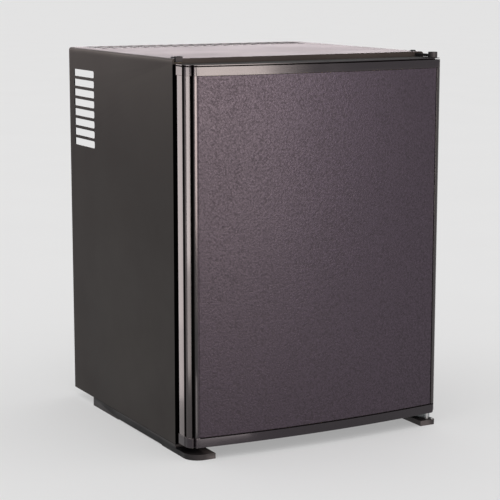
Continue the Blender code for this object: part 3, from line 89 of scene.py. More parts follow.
class Coating(Enum):
    """The kinds of finish on the fridge: the record's material slots, and last the bead of the grip."""

    CABINET = "cabinet_paint"
    SHEET = "sheet_paint"
    FOAM = "foam"
    WHITE = "white_plastic"
    FOOT = "foot_plastic"
    GREY = "grey_plastic"
    BLACK = "black_plastic"
    HINGE = "hinge_steel"
    ALUMINIUM = "evaporator_aluminium"
    CLEAR = "clear_plastic"
    STRAP = "zinc_strap"
    PIPE = "pipe_paint"
    TRIM = "trim"
    PROFILE = "door_profile"
    DOOR = "door_skin"
    # Also laid as painted shade in the grooves, the cap seams and the flange band
    GASKET = "gasket"
    WIRE = "coated_wire"
    BEAD = "polished_bead"


class Lit(Enum):
    """What a light is flagged to light. From the wrap on, a value begins the names of its pieces."""

    FLOOR = "floor"
    FRIDGE = "fridge"
    OUTSIDE = "outside"
    INSIDE = "inside"
    WRAP = "outer_wrap"
    DOOR = "door"
    PANEL = "door_panel"
    LOW_CAP = "door_cap_bottom"
    GRIP = "door_grip"


class Axis(Enum):
    """The three directions of the shared frame."""

    X = (1.0, 0.0, 0.0)
    Y = (0.0, 1.0, 0.0)
    Z = (0.0, 0.0, 1.0)


def linear(code: str) -> tuple[float, float, float, float]:
    """Turn an sRGB hex colour into linear light.

    Args:
        code: Six hex digits after a hash sign.

    Returns:
        Red, green, blue and a full alpha.
    """
    parts = [int(code[start : start + 2], 16) / 255 for start in (1, 3, 5)]
    red, green, blue = [p / 12.92 if p <= 0.04045 else ((p + 0.055) / 1.055) ** 2.4 for p in parts]
    return red, green, blue, 1.0


class Pattern:
    """A material's node tree, with a short call for each kind of node that the finishes draw with.

    Sizes are real ones in millimetres.
    """

    def __init__(self, tree: bpy.types.NodeTree) -> None:
        """Take a tree and give its patterns their place: object coordinates, centred on the fridge.

        Args:
            tree: The material's node tree.
        """
        self.tree = tree
        self.uncentred = self.add("ShaderNodeTexCoord").outputs["Object"]
        centred = self.add("ShaderNodeMapping", {"Vector": self.uncentred, "Location": PATTERN_SHIFT})
        self.place = centred.outputs["Vector"]

    def fill(self, node: Node, values: dict[str | int, Any]) -> None:
        """Set a node's inputs, or link those whose value is an output socket.

        Args:
            node: The node.
            values: Socket values by name or number.
        """
        for key, value in values.items():
            if isinstance(value, Socket):
                self.tree.links.new(value, node.inputs[key])
            else:
                node.inputs[key].default_value = value

    def add(self, kind: str, values: dict[str | int, Any] | None = None, **settings: Any) -> Node:
        """Add one node.

        Args:
            kind: Blender's name for the node type.
            values: Socket values by name or number.
            settings: Properties of the node.

        Returns:
            The new node.
        """
        node = self.tree.nodes.new(kind)
        for name, value in settings.items():
            setattr(node, name, value)
        self.fill(node, values or {})
        return node

    def noise(self, size: float, detail: float, rough: float = 0.5, place: Socket | None = None) -> Node:
        """Add soft noise.

        Args:
            size: Size of its blots.
            detail: How many finer layers lie on them.
            rough: How strong those layers are.
            place: Where it is drawn, when that isn't the pattern's own place.

        Returns:
            The noise node.
        """
        values = {"Vector": place or self.place, "Scale": 1 / (size * MM)}
        return self.add("ShaderNodeTexNoise", values | {"Detail": detail, "Roughness": rough})

    def cells(self, size: float, place: Socket | None = None, smooth: float = 0.0) -> Socket:
        """Add a field of cells.

        Args:
            size: Size of a cell.
            place: Where it is drawn, when that isn't the pattern's own place.
            smooth: How far the cells flow into each other.

        Returns:
            The distance from the middle of the nearest cell.
        """
        values = {"Vector": place or self.place, "Scale": 1 / (size * MM)}
        if smooth:
            values["Smoothness"] = smooth
        feature = "SMOOTH_F1" if smooth else "F1"
        return self.add("ShaderNodeTexVoronoi", values, feature=feature).outputs["Distance"]

    def combine(self, operation: str, *terms: Socket | float) -> Socket:
        """Calculate with numbers, by one of the math node's operations."""
        return self.add("ShaderNodeMath", dict(enumerate(terms)), operation=operation).outputs[0]

    def ramp(self, value: Socket, *limits: float) -> Socket:
        """Map a value from one range to another: the limits of the first come before the second's."""
        return self.add("ShaderNodeMapRange", dict(enumerate((value, *limits)))).outputs[0]

    def blend(self, share: Socket, first: Any, second: Any) -> Socket:
        """Blend two colours by a share from 0 to 1."""
        return self.add("ShaderNodeMix", {0: share, 6: first, 7: second}, data_type="RGBA").outputs[2]


@dataclass(frozen=True)
class Finish:
    """A surface finish: its colour, how that drifts, and its fine relief.

    Sizes are real ones in millimetres. The base class is spark-eroded moulded plastic, an
    even, slightly pebbled satin to the eye.
    """

    coating: Coating
    colour: str
    shade: str
    roughness: float
    spread: float = 0.08
    metallic: float = 0.0
    ior: float = 1.5
    drift_mm: float = 90.0
    grain_mm: float = 1.6
    depth_mm: float = 0.03
    worn: str = ""
    wear: float = 0.0
    clear: float = 0.0
    sheen: float = 0.0
    hairlines: float = 0.0
    highlight: str = "#ffffff"

    def relief(self, draw: Pattern) -> Socket:
        """Draw the height of the surface, from 0 to 1: the fine pebble of a moulding."""
        return draw.noise(self.grain_mm, 3.0, 0.55).outputs["Fac"]

    def tint(self, draw: Pattern, height: Socket) -> Socket:
        """Draw the colour: a slow drift between two shades, and wear on edges where there is any.

        Args:
            draw: The material's pattern.
            height: The relief; not used here.

        Returns:
            The colour.
        """
        slow = draw.noise(self.drift_mm, 4.0, 0.6).outputs["Fac"]
        drifted = draw.blend(slow, linear(self.colour), linear(self.shade))
        if not self.worn:
            return drifted
        edge = draw.add("ShaderNodeNewGeometry").outputs["Pointiness"]
        rubbed = draw.ramp(edge, *RUBBED, 0.0, self.wear)
        return draw.blend(draw.combine("MULTIPLY", rubbed, slow), drifted, linear(self.worn))

    def gloss(self, draw: Pattern, height: Socket) -> Socket:
        """Draw the roughness, with soft cloudy marks from wiping.

        Args:
            draw: The material's pattern.
            height: The relief; not used here.

        Returns:
            The roughness.
        """
        smear = draw.noise(self.drift_mm * 0.45, 5.0).outputs["Fac"]
        least, most = max(self.roughness - self.spread, 0.02), min(self.roughness + self.spread, 1.0)
        return draw.ramp(smear, 0.3, 0.7, least, most)

    def material(self) -> bpy.types.Material:
        """Make the material from its parts.

        Returns:
            The finished material.
        """
        made = bpy.data.materials.new(self.coating.value)
        made.use_nodes = True
        draw = Pattern(made.node_tree)
        height = self.relief(draw)
        lift = {"Height": height, "Distance": self.depth_mm * MM, "Strength": 1.0}
        raised = draw.add("ShaderNodeBump", lift)
        looks = {
            "Normal": raised.outputs["Normal"],
            "Base Color": self.tint(draw, height),
            "Roughness": self.gloss(draw, height),
            "Metallic": self.metallic,
            "IOR": self.ior,
            "Transmission Weight": self.clear,
            "Sheen Weight": self.sheen,
            "Anisotropic": self.hairlines,
            "Specular Tint": linear(self.highlight),
        }
        draw.fill(made.node_tree.nodes["Principled BSDF"], looks)
        return made


@dataclass(frozen=True)
class PowderCoat(Finish):
    """Paint baked or brushed on sheet steel: a low, rolling orange peel under a satin gloss."""

    pebble_size: float = 0.8
    pebble_rise: float = 0.45

    def relief(self, draw: Pattern) -> Socket:
        """Draw orange peel: a soft roll with a finer pebble on it.

        Args:
            draw: The material's pattern.

        Returns:
            The height.
        """
        roll = draw.noise(self.grain_mm, 1.5, 0.4).outputs["Fac"]
        pebble = draw.cells(self.grain_mm * self.pebble_size, smooth=0.8)
        return draw.combine("MULTIPLY_ADD", pebble, self.pebble_rise, roll)


@dataclass(frozen=True)
class LeatherFilm(Finish):
    """PVC film rolled with a leather grain: small raised cells, soft creases and a gloss towards plum."""

    highlight: str = "#f4ebf2"
    fold_size: float = 1.3
    fold_pull: float = 0.8
    dome_rise: float = -0.4
    # Colour scale from the relief: painted shade in the creases, painted highlight on the domes
    crease_shade_dome_highlight: tuple[float, ...] = (0.1, 0.55, 0.55, 1.45)
    dulling: tuple[float, ...] = (0.1, 0.5, 0.2, 0.0)

    def relief(self, draw: Pattern) -> Socket:
        """Draw leather: small uneven domes with creases between them, on a rolling hide.

        Args:
            draw: The material's pattern.

        Returns:
            The height.
        """
        fold = draw.noise(self.grain_mm * self.fold_size, 2.0).outputs["Color"]
        terms = {0: fold, 1: (self.grain_mm * self.fold_pull * MM,) * 3, 2: draw.place}
        pulled = draw.add("ShaderNodeVectorMath", terms, operation="MULTIPLY_ADD")
        domes = draw.cells(self.grain_mm, pulled.outputs["Vector"])
        hide = draw.noise(self.grain_mm, 3.0, 0.7).outputs["Fac"]
        return draw.combine("MULTIPLY_ADD", domes, self.dome_rise, hide)

    def tint(self, draw: Pattern, height: Socket) -> Socket:
        """Paint shade into the creases of the grain and a highlight on its domes, under the slow drift."""
        terms = {0: Finish.tint(self, draw, height), "Scale": draw.ramp(height, *self.crease_shade_dome_highlight)}
        return draw.add("ShaderNodeVectorMath", terms, operation="SCALE").outputs["Vector"]

    def gloss(self, draw: Pattern, height: Socket) -> Socket:
        """Dull the creases, where the roller didn't polish the film."""
        return draw.combine("ADD", Finish.gloss(self, draw, height), draw.ramp(height, *self.dulling))


@dataclass(frozen=True)
class DrawnStock(Finish):
    """Drawn or extruded stock, bare or lacquered: upright hairlines stretch the highlights across them."""

    hairlines: float = 0.35
    stretch: Point = (1.0, 1.0, 0.02)

    def relief(self, draw: Pattern) -> Socket:
        """Draw hairlines that run upright."""
        lines = draw.add("ShaderNodeMapping", {"Vector": draw.place, "Scale": self.stretch})
        return draw.noise(self.grain_mm, 4.0, place=lines.outputs["Vector"]).outputs["Fac"]


@dataclass(frozen=True)
class ZincPlate(Finish):
    """Hot-dip galvanised strip: flat crystals a few millimetres wide, each a slightly different grey."""

    crystal_mm: float = 7.0

    def tint(self, draw: Pattern, height: Socket) -> Socket:
        """Give each crystal its own shade."""
        return draw.blend(draw.cells(self.crystal_mm), linear(self.colour), linear(self.shade))


@dataclass(frozen=True)
class RigidFoam(Finish):
    """Polyurethane foam poured in place: pale yellow with open cut cells."""

    def relief(self, draw: Pattern) -> Socket:
        """Draw cut cells."""
        return draw.cells(self.grain_mm)


FINISHES: tuple[Finish, ...] = (
    # Powder-coated steel wrap: near black, so what shows is mostly its satin reflection
    PowderCoat(Coating.CABINET, "#221c1b", "#1e1918", 0.5, spread=0.03, ior=1.21, grain_mm=2.2,
               depth_mm=0.02, drift_mm=220, worn="#5d5955", wear=0.6),
    # Thin black paint on the hidden steel at the back: duller, with more dust
    PowderCoat(Coating.SHEET, "#1c1c1d", "#2a2a29", 0.52, grain_mm=3.0, depth_mm=0.03),
    # Foam between the walls, cut open where it shows: dry and yellowish, with no gloss at all
    RigidFoam(Coating.FOAM, "#d9c98f", "#cdb978", 0.85, grain_mm=1.5, depth_mm=0.25),
    # Vacuum-formed polystyrene: cool white and glossy, faintly uneven from the stretch
    Finish(Coating.WHITE, "#e9eae8", "#e2e4e3", 0.24, ior=1.55, grain_mm=14, depth_mm=0.04),
    # Moulded ABS foot rails: dark and satin, rubbed on their edges
    Finish(Coating.FOOT, "#0b0b0e", "#0f0e11", 0.5, ior=1.3, grain_mm=1.4, depth_mm=0.04, worn="#6d6868",
           wear=0.8),
    # Moulded ABS of the knob, the evaporator's plug and the inlet: an even mid grey
    Finish(Coating.GREY, "#8f8b8a", "#858180", 0.42, grain_mm=1.2, depth_mm=0.02),
    # Moulded black plastic of the screw caps, tray, drain and box: satin, paler where it is rubbed
    Finish(Coating.BLACK, "#161617", "#1f1f20", 0.38, grain_mm=1.2, depth_mm=0.03, worn="#4a4a4a", wear=0.5),
    # Black paint on the small steel parts of the hinge: matt, and bare along the edges
    PowderCoat(Coating.HINGE, "#0d0d0e", "#111112", 0.55, ior=1.3, grain_mm=1.6, depth_mm=0.02,
               worn="#5b595c", wear=0.8),
    # Anodised aluminium extrusion: pale, with its draw lines upright
    DrawnStock(Coating.ALUMINIUM, "#c9ccce", "#bfc3c6", 0.34, metallic=1.0, grain_mm=0.9, depth_mm=0.02),
    # Clear moulded polystyrene of the racks and the lens: a hard gloss, faintly blue where it is thick
    Finish(Coating.CLEAR, "#eaf2f5", "#e2edf2", 0.08, spread=0.04, ior=1.59, grain_mm=20, depth_mm=0.02,
           clear=0.9),
    # Galvanised steel of the straps, screws and lower bracket: a bright, clouded grey
    ZincPlate(Coating.STRAP, "#a9adae", "#8f9496", 0.38, metallic=1.0, grain_mm=2.0, depth_mm=0.01),
    # Black stoving enamel brushed on drawn steel pipe: glossy, with soft brush waves
    PowderCoat(Coating.PIPE, "#131314", "#1d1d1e", 0.34, grain_mm=3.5, depth_mm=0.05, worn="#55504c",
               wear=0.4),
    # Moulded ABS end caps under a hard black lacquer: they mirror the lights as soft patches
    Finish(Coating.TRIM, "#130c13", "#100a10", 0.2, spread=0.03, ior=1.52, grain_mm=9, depth_mm=0.01,
           worn="#77716c", wear=0.4),
    # Extruded profile in the same black lacquer: dark, with sharp upright reflections
    DrawnStock(Coating.PROFILE, "#1a1415", "#161112", 0.18, spread=0.03, ior=1.6, grain_mm=1.2,
               depth_mm=0.004),
    # Leather-grained film over the steel panel: deep plum grey; the domes carry a painted highlight and the
    # creases painted shade, and the creases are dull
    LeatherFilm(Coating.DOOR, "#2a252c", "#252127", 0.27, spread=0.02, ior=1.34, grain_mm=2.8, depth_mm=0.3,
                drift_mm=200),
    # Soft black vinyl of the gasket, also used as painted shade in the grooves, the cap seams and the wrap's
    # flange band: matt, it gives back almost no light
    Finish(Coating.GASKET, "#040404", "#030303", 0.85, ior=1.08, grain_mm=1.5, sheen=0.005),
    # Dark chromed bead beside the panel: a thin mirror that picks up every lamp
    Finish(Coating.BEAD, "#444243", "#403e3f", 0.18, spread=0.03, metallic=1.0, grain_mm=3.0, depth_mm=0.004),
    # Epoxy-dipped steel wire: thick, soft-edged white skin
    Finish(Coating.WIRE, "#dfe0de", "#d5d7d6", 0.3, grain_mm=4.0, depth_mm=0.05),
)


def middle_of(node: str) -> Vector:
    """Find the middle of a node's box."""
    low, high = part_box(node)
    return (low + high) / 2


def welded_copy(node: str) -> Mesh:
    """Copy a node of the model with its loose triangles joined.

    Args:
        node: The node's name.

    Returns:
        A closed mesh of triangles.
    """
    mesh = bmesh.new()
    mesh.from_mesh(frame["nodes"][node].data)
    bmesh.ops.remove_doubles(mesh, verts=mesh.verts, dist=MERGE)
    return mesh


def merged_copy(node: str) -> Mesh:
    """Copy a node of the model with its flat faces made whole.

    Args:
        node: The node's name.

    Returns:
        A closed mesh with few faces.
    """
    mesh = welded_copy(node)
    bmesh.ops.dissolve_limit(mesh, angle_limit=radians(FLAT), verts=mesh.verts, edges=mesh.edges)
    return mesh


def cut_at(mesh: Mesh, level: float) -> None:
    """Cut every face that crosses a height, given in metres."""
    everything = [*mesh.verts, *mesh.edges, *mesh.faces]
    bmesh.ops.bisect_plane(mesh, geom=everything, plane_co=(0, 0, level), plane_no=(0, 0, 1))


def vertices(made: dict[str, Any]) -> list[bmesh.types.BMVert]:
    """Pick the vertices out of what a mesh operator made."""
    return [item for item in made["geom"] if isinstance(item, bmesh.types.BMVert)]


def mark(mesh: Mesh, rule: Callable[[Vector, Vector], int | None]) -> None:
    """Mark each face with the number of its inlay.

    Args:
        mesh: The mesh.
        rule: Gives the number for a face's middle and its normal, or None to leave the face as it is.
    """
    for face in mesh.faces:
        found = rule(face.calc_center_median(), face.normal)
        if found is not None:
            face.material_index = found


def placed(name: str, data: bpy.types.ID) -> bpy.types.Object:
    """Put an object in the scene.

    Args:
        name: Its name.
        data: Its mesh, light or camera.

    Returns:
        The object.
    """
    thing = bpy.data.objects.new(name, data)
    bpy.context.scene.collection.objects.link(thing)
    return thing


def eased(mesh: Mesh, width: float, segments: int = 2) -> Mesh:
    """Round the sharp edges as a tool or a fold leaves them.

    Args:
        mesh: The mesh to change.
        width: How far the rounding reaches, in metres.
        segments: Steps across the rounding.

    Returns:
        The same mesh.
    """
    sharp = [e for e in mesh.edges if e.is_manifold and e.calc_face_angle(0.0) > radians(SHARP)]
    form = {"offset_type": "OFFSET", "affect": "EDGES", "profile": 0.5, "material": -1, "clamp_overlap": True}
    bmesh.ops.bevel(mesh, geom=sharp, offset=width, segments=segments, **form)
    return mesh


def block(low: Sequence[float], high: Sequence[float], ease: float = 0.0) -> Mesh:
    """Make a block between two corners, its edges rounded where asked.

    Args:
        low: The lowest corner.
        high: The highest corner.
        ease: The rounding in metres.

    Returns:
        The block.
    """
    mesh = bmesh.new()
    size = Vector(high) - Vector(low)
    middle = (Vector(high) + Vector(low)) / 2
    bmesh.ops.create_cube(mesh, size=1.0, matrix=Matrix.Translation(middle) @ Matrix.Diagonal((*size, 1.0)))
    return eased(mesh, ease, 3) if ease else mesh


def turned(profile: Sequence[tuple[float, float]], centre: Vector, axis: Axis, steps: int = 32) -> Mesh:
    """Turn a profile round an axis.

    Args:
        profile: Pairs of radius and distance along the axis, in metres.
        centre: A point on the axis, where the distance is zero.
        axis: The axis of the turning.
        steps: Steps round the whole turn.

    Returns:
        The closed turned shape.
    """
    mesh = bmesh.new()
    along = Vector(axis.value)
    out = along.orthogonal().normalized()
    points = [mesh.verts.new(centre + out * radius + along * reach) for radius, reach in profile]
    edges = [mesh.edges.new(pair) for pair in zip(points, points[1:])]
    whole = {"angle": 2 * pi, "steps": steps, "use_merge": True}
    bmesh.ops.spin(mesh, geom=points + edges, cent=centre, axis=along, **whole)
    bmesh.ops.remove_doubles(mesh, verts=mesh.verts, dist=MERGE / 2)
    bmesh.ops.recalc_face_normals(mesh, faces=mesh.faces)
    return mesh


def tube(path: Iterable[Sequence[float]], radius: float, sides: int, closed: bool = False) -> Mesh:
    """Run a round section along a line of points.

    Args:
        path: The points of the middle line.
        radius: The tube's radius in metres.
        sides: Sides of the round section.
        closed: Whether the last point joins the first.

    Returns:
        The tube, with its ends filled when it is open.
    """
    mesh = bmesh.new()
    points = [Vector(point) for point in path]
    count = len(points)
    rings: list[list[bmesh.types.BMEdge]] = []
    turn = Matrix.Identity(3)
    before = Vector(Axis.Z.value)
    for index, point in enumerate(points):
        ahead = points[(index + 1) % count] if closed else points[min(index + 1, count - 1)]
        behind = points[index - 1] if closed else points[max(index - 1, 0)]
        heading = (ahead - behind).normalized()
        turn = before.rotation_difference(heading).to_matrix() @ turn
        before = heading
        place = Matrix.Translation(point) @ turn.to_4x4()
        made = bmesh.ops.create_circle(mesh, segments=sides, radius=radius, matrix=place)
        rings.append(list(dict.fromkeys(edge for vert in made["verts"] for edge in vert.link_edges)))
    pairs = list(zip(rings, rings[1:])) + ([(rings[-1], rings[0])] if closed else [])
    for first, second in pairs:
        bmesh.ops.bridge_loops(mesh, edges=first + second)
    if not closed:
        bmesh.ops.holes_fill(mesh, edges=rings[0] + rings[-1], sides=sides)
    bmesh.ops.recalc_face_normals(mesh, faces=mesh.faces)
    return mesh


def joined(parts: Sequence[Mesh]) -> Mesh:
    """Put several meshes into one.

    Args:
        parts: The meshes, which are used up.

    Returns:
        One mesh that holds them all.
    """
    whole = bmesh.new()
    carrier = bpy.data.meshes.new("carrier")
    for part in parts:
        part.to_mesh(carrier)
        part.free()
        whole.from_mesh(carrier)
    bpy.data.meshes.remove(carrier)
    return whole


def bent(corners: Sequence[Sequence[float]], bend: float, steps: int = 8) -> list[Vector]:
    """Follow corner points with each inner corner drawn as a smooth bend.

    Args:
        corners: The corner points.
        bend: How far before a corner its bend begins, in metres.
        steps: Steps in each bend.

    Returns:
        The points of the line.
    """
    path = [Vector(corners[0])]
    for before, corner, after in zip(corners, corners[1:], corners[2:]):
        middle = Vector(corner)
        entry = middle + (Vector(before) - middle).normalized() * bend
        leave = middle + (Vector(after) - middle).normalized() * bend
        for step in range(steps + 1):
            share = step / steps
            path.append(entry.lerp(middle, share).lerp(middle.lerp(leave, share), share))
    path.append(Vector(corners[-1]))
    return path


# A node to refine: its name, its finish, its rounding in metres and the steps across the rounding
Rounding = tuple[str, Coating, float, int]


@dataclass
class Assembly:
    """A sub-assembly that rides on one body and dresses its own pieces."""

    palette: dict[Coating, bpy.types.Material]
    body: str
    refined: tuple[Rounding, ...] = ()

    def build(self) -> None:
        """Refine every node that is listed for it."""
        for row in self.refined:
            self.refine(*row)

    def publish(
        self,
        name: str,
        mesh: Mesh,
        coating: Coating,
        nodes: Sequence[str] = (),
        round_off: int = 0,
        body: str = "",
        inlays: Sequence[Coating] = (),
    ) -> None:
        """Turn a mesh into a finished piece that moves with its body.

        Args:
            name: The piece's name.
            mesh: Its shape, which is used up.
            coating: Its finish.
            nodes: The nodes of the model that it stands for.
            round_off: Levels of smooth subdivision.
            body: The body it rides on, where that isn't the assembly's own.
            inlays: The finishes of the faces marked 1, 2 and so on.
        """
        data = bpy.data.meshes.new(name)
        mesh.to_mesh(data)
        mesh.free()
        data.shade_smooth()
        data.set_sharp_from_angle(angle=radians(180 if round_off else CRISP))
        for finish in (coating, *inlays):
            data.materials.append(self.palette[finish])
        piece = placed(name, data)
        if round_off:
            smooth = piece.modifiers.new("rounding", "SUBSURF")
            smooth.levels = round_off
            smooth.render_levels = round_off
        else:
            piece.modifiers.new("even_faces", "WEIGHTED_NORMAL").keep_sharp = True
        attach(piece, body or self.body)
        if nodes:
            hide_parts(*nodes)
        LOG.info("%s: %d faces in %s", name, len(data.polygons), coating.value)

    def refine(self, node: str, coating: Coating, width: float, segments: int) -> None:
        """Stand a copy with rounded edges in for a node of the model.

        Args:
            node: The node's name.
            coating: Its finish.
            width: The rounding in metres.
            segments: Steps across the rounding.
        """
        mesh = eased(merged_copy(node), width, segments)
        body = frame["nodes"][node]["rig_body"]
        self.publish(f"{node}_finished", mesh, coating, (node,), body=body)

    def coat(self, node: str, coating: Coating) -> None:
        """Give a node of the model its finish, as it is.

        Args:
            node: Its name.
            coating: The finish.
        """
        thing = frame["nodes"][node]
        thing.data.materials.clear()
        thing.data.materials.append(self.palette[coating])
        LOG.info("%s: kept, in %s", node, coating.value)


@dataclass(frozen=True)
class Screw:
    """Pan-head screw with a cross recess.

    The first three sizes are in metres and the rest are shares of them. The dome is a row
    of pairs of radius and drop, from the flat middle of the head to its underside.
    """

    radius: float
    height: float
    recess: float
    flat: float = 0.52
    slot: float = 0.62
    taper: float = 0.8
    dome: tuple[tuple[float, float], ...] = ((0.8, 0.12), (1.0, 0.55), (1.0, 1.0), (0.96, 1.2))

    def head(self, seat: Vector, outward: Axis, spin: float) -> Mesh:
        """Shape the head, to be subdivided once or twice.

        Args:
            seat: The middle of the head's underside.
            outward: The axis that the head faces.
            spin: Turn of the cross, in radians.

        Returns:
            The head.
        """
        mesh = bmesh.new()
        reach = self.radius * self.flat
        bmesh.ops.create_grid(mesh, x_segments=3, y_segments=3, size=reach)
        for vert in mesh.verts:
            for part in (0, 1):
                if abs(vert.co[part]) < reach * 0.5:
                    vert.co[part] *= self.slot
        cross = [face for face in mesh.faces if min(map(abs, face.calc_center_median()[:2])) < MERGE / 2]
        rim = [edge for edge in mesh.edges if edge.is_boundary]
        for share, drop in self.dome:
            out = bmesh.ops.extrude_edge_only(mesh, edges=rim)["geom"]
            rim = [item for item in out if isinstance(item, bmesh.types.BMEdge) and item.is_boundary]
            for vert in {v for edge in rim for v in edge.verts}:
                flat = Vector((vert.co.x, vert.co.y, 0.0)).normalized() * self.radius * share
                vert.co = Vector((flat.x, flat.y, -self.height * drop))
        low = vertices(bmesh.ops.extrude_face_region(mesh, geom=cross))
        bmesh.ops.delete(mesh, geom=[f for f in cross if f.is_valid], context="FACES")
        bmesh.ops.scale(mesh, verts=low, vec=(self.taper, self.taper, 1.0))
        bmesh.ops.translate(mesh, verts=low, vec=(0.0, 0.0, -self.recess))
        bmesh.ops.holes_fill(mesh, edges=rim, sides=16)
        bmesh.ops.recalc_face_normals(mesh, faces=mesh.faces)
        facing = Vector(outward.value)
        turn = Vector(Axis.Z.value).rotation_difference(facing).to_matrix().to_4x4()
        place = Matrix.Translation(seat + facing * self.height) @ turn @ Matrix.Rotation(spin, 4, "Z")
        bmesh.ops.transform(mesh, matrix=place, verts=mesh.verts)
        return mesh


@dataclass
class Cabinet(Assembly):
    """The painted steel cabinet with its liner, feet and blanking plugs. Sizes are in metres."""

    refined: tuple[Rounding, ...] = (
        ("bottom_pan", Coating.CABINET, 0.0005, 2),
        ("inner_liner", Coating.WHITE, 0.0008, 2),
        ("foot_rail_left", Coating.FOOT, 0.0012, 3),
        ("foot_rail_right", Coating.FOOT, 0.0012, 3),
        ("hinge_plug_front", Coating.HINGE, 0.0006, 3),
    )
    wrap_ease: float = 0.0005
    # How far under the door's top the flange's painted shade band ends
    shade_band_drop: float = 0.001
    spins: Point = (0.35, 1.1, 0.4)
    screw: Screw = Screw(0.0043, 0.0018, 0.0012)
    toe_screw: Screw = Screw(0.0024, 0.0012, 0.0007)
    toe_inset: Point = (0.0042, 0.0034, 0.008)
    washer_width: float = 0.0014
    washer_half: float = 0.0002

    def build(self) -> None:
        """Build and dress every cabinet piece."""
        super().build()
        self.wrap()
        self.coat("rear_panel", Coating.SHEET)
        foam = merged_copy("insulation")
        mark(foam, lambda at, normal: int(normal.y < -MOSTLY))
        self.publish("insulation_skinned", foam, Coating.FOAM, ("insulation",), inlays=(Coating.WHITE,))
        self.screws()

    def wrap(self) -> None:
        """Refine the painted wrap, with a dull black band on the front flange below the door's top: painted
        shade for the dark gap behind the door.
        """
        mesh = eased(merged_copy("outer_wrap"), self.wrap_ease)
        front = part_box("outer_wrap")[0].y
        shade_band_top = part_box("door_cap_top")[1].z - self.shade_band_drop
        cut_at(mesh, shade_band_top)
        # Front flange faces below the band's top take the dull black inlay: painted shade in the gap behind
        # the door
        mark(mesh, lambda at, normal: int(normal.y < -MOSTLY and at.y < front + TENTH and at.z < shade_band_top))
        self.publish("outer_wrap_finished", mesh, Coating.CABINET, ("outer_wrap",), inlays=(Coating.GASKET,))

    def screw_seat(self, node: str) -> Vector:
        """Find where the head of a screw over a node rests."""
        middle = middle_of(node)
        return Vector((middle.x, middle.y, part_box(node)[1].z - self.screw.height))

    def screws(self) -> None:
        """Build the cross-head screws over both hinge places, the washer under one, and the toe's screw."""
        left, right = "hinge_plug_top", "hinge_screw_top"
        for node, name, spin in zip((left, right), ("screw_left_place", "screw_hinge_arm"), self.spins):
            head = self.screw.head(self.screw_seat(node), Axis.Z, spin)
            self.publish(name, head, Coating.BLACK, (node,), 2)
        inner, outer, half = self.screw.radius, self.screw.radius + self.washer_width, self.washer_half
        chamfer = half + TENTH
        section = ((inner, -half), (outer, -half), (outer, TENTH), (outer - chamfer, chamfer))
        ring = (*section, (inner, chamfer), (inner, -half))
        self.publish("washer_left_place", turned(ring, self.screw_seat(left), Axis.Z), Coating.STRAP)
        low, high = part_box("foot_rail_right")
        across, forward, up = self.toe_inset
        place = Vector((high.x - across, low.y + forward, up))
        head = self.toe_screw.head(place, Axis.Z, self.spins[2])
        self.publish("screw_right_toe", head, Coating.STRAP, (), 2)


@dataclass
class Hinge(Assembly):
    """Steel arm and bracket that carry the door on its right side."""

    refined: tuple[Rounding, ...] = (
        ("hinge_arm_top", Coating.HINGE, 0.0006, 2),
        ("hinge_bracket_bottom", Coating.STRAP, 0.0006, 2),
    )


@dataclass
class Interior(Assembly):
    """Everything in the cold chamber: cooling plate, channel, controls and shelves.

    Sizes are in metres, angles in degrees.
    """

    refined: tuple[Rounding, ...] = (
        ("evaporator_fins", Coating.ALUMINIUM, 0.0003, 2),
        ("drip_channel", Coating.WHITE, 0.0006, 2),
        ("control_housing", Coating.WHITE, 0.0012, 3),
        ("light_lens", Coating.CLEAR, 0.0006, 2),
        ("thermostat_knob", Coating.GREY, 0.0003, 2),
        ("light_switch", Coating.WHITE, 0.0004, 2),
    )
    frame_radius: float = 0.0025
    frame_bend: float = 0.008
    bar_share: float = 0.9
    wire_sink: float = 0.3
    wire_radius: float = 0.0013
    wires: int = 15
    dial_steps: int = 7
    dial_start: float = 120
    dial_sweep: float = 300
    mark_gap: float = 0.0006
    mark_length: float = 0.0006
    mark_growth: float = 0.0001
    mark_half: tuple[float, float] = (0.0001, 0.00025)

    def build(self) -> None:
        """Build and dress every piece of the interior."""
        super().build()
        for node in ("shelf_lower", "shelf_upper"):
            self.shelf(node)
        self.dial()

    def dial(self) -> None:
        """Mark the thermostat's steps round the knob with strokes that lengthen towards cold."""
        low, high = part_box("thermostat_knob")
        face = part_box("control_housing")[0].y
        middle = Vector(((low.x + high.x) / 2, face, (low.z + high.z) / 2))
        reach = (high.x - low.x) / 2 + self.mark_gap
        proud, wide = self.mark_half
        strokes = []
        for step in range(self.dial_steps):
            end = reach + (self.mark_length + self.mark_growth * step)
            stroke = block((reach, -proud, -wide), (end, proud, wide))
            angle = self.dial_start + self.dial_sweep * step / (self.dial_steps - 1)
            turn = Matrix.Rotation(radians(angle), 3, "Y")
            bmesh.ops.rotate(stroke, cent=(0, 0, 0), matrix=turn, verts=stroke.verts)
            bmesh.ops.translate(stroke, vec=middle, verts=stroke.verts)
            strokes.append(stroke)
        self.publish("thermostat_marks", joined(strokes), Coating.BLACK)

    def shelf(self, node: str) -> None:
        """Build a wire shelf with round wires in place of the model's plain bars.

        Args:
            node: The shelf's node.
        """
        low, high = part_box(node)
        thick = self.frame_radius
        z = low.z + thick
        left, right = low.x + thick, high.x - thick
        near, far = low.y + thick, high.y - thick
        middle = (near + far) / 2
        start, end = (left, middle, z), (right, middle, z)
        corners = [start, (left, near, z), (right, near, z), (right, far, z), (left, far, z), start]
        parts = [tube(bent(corners, self.frame_bend, 6)[:-1], thick, 12, True)]
        parts.append(tube((start, end), thick * self.bar_share, 12))
        top = high.z - self.wire_radius
        sunk = thick * self.wire_sink
        for step in range(self.wires):
            x = left + (right - left) * (step + 1) / (self.wires + 1)
            parts.append(tube(((x, near + sunk, top), (x, far - sunk, top)), self.wire_radius, 10))
        body = frame["nodes"][node]["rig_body"]
        self.publish(f"{node}_wires", joined(parts), Coating.WIRE, (node,), body=body)


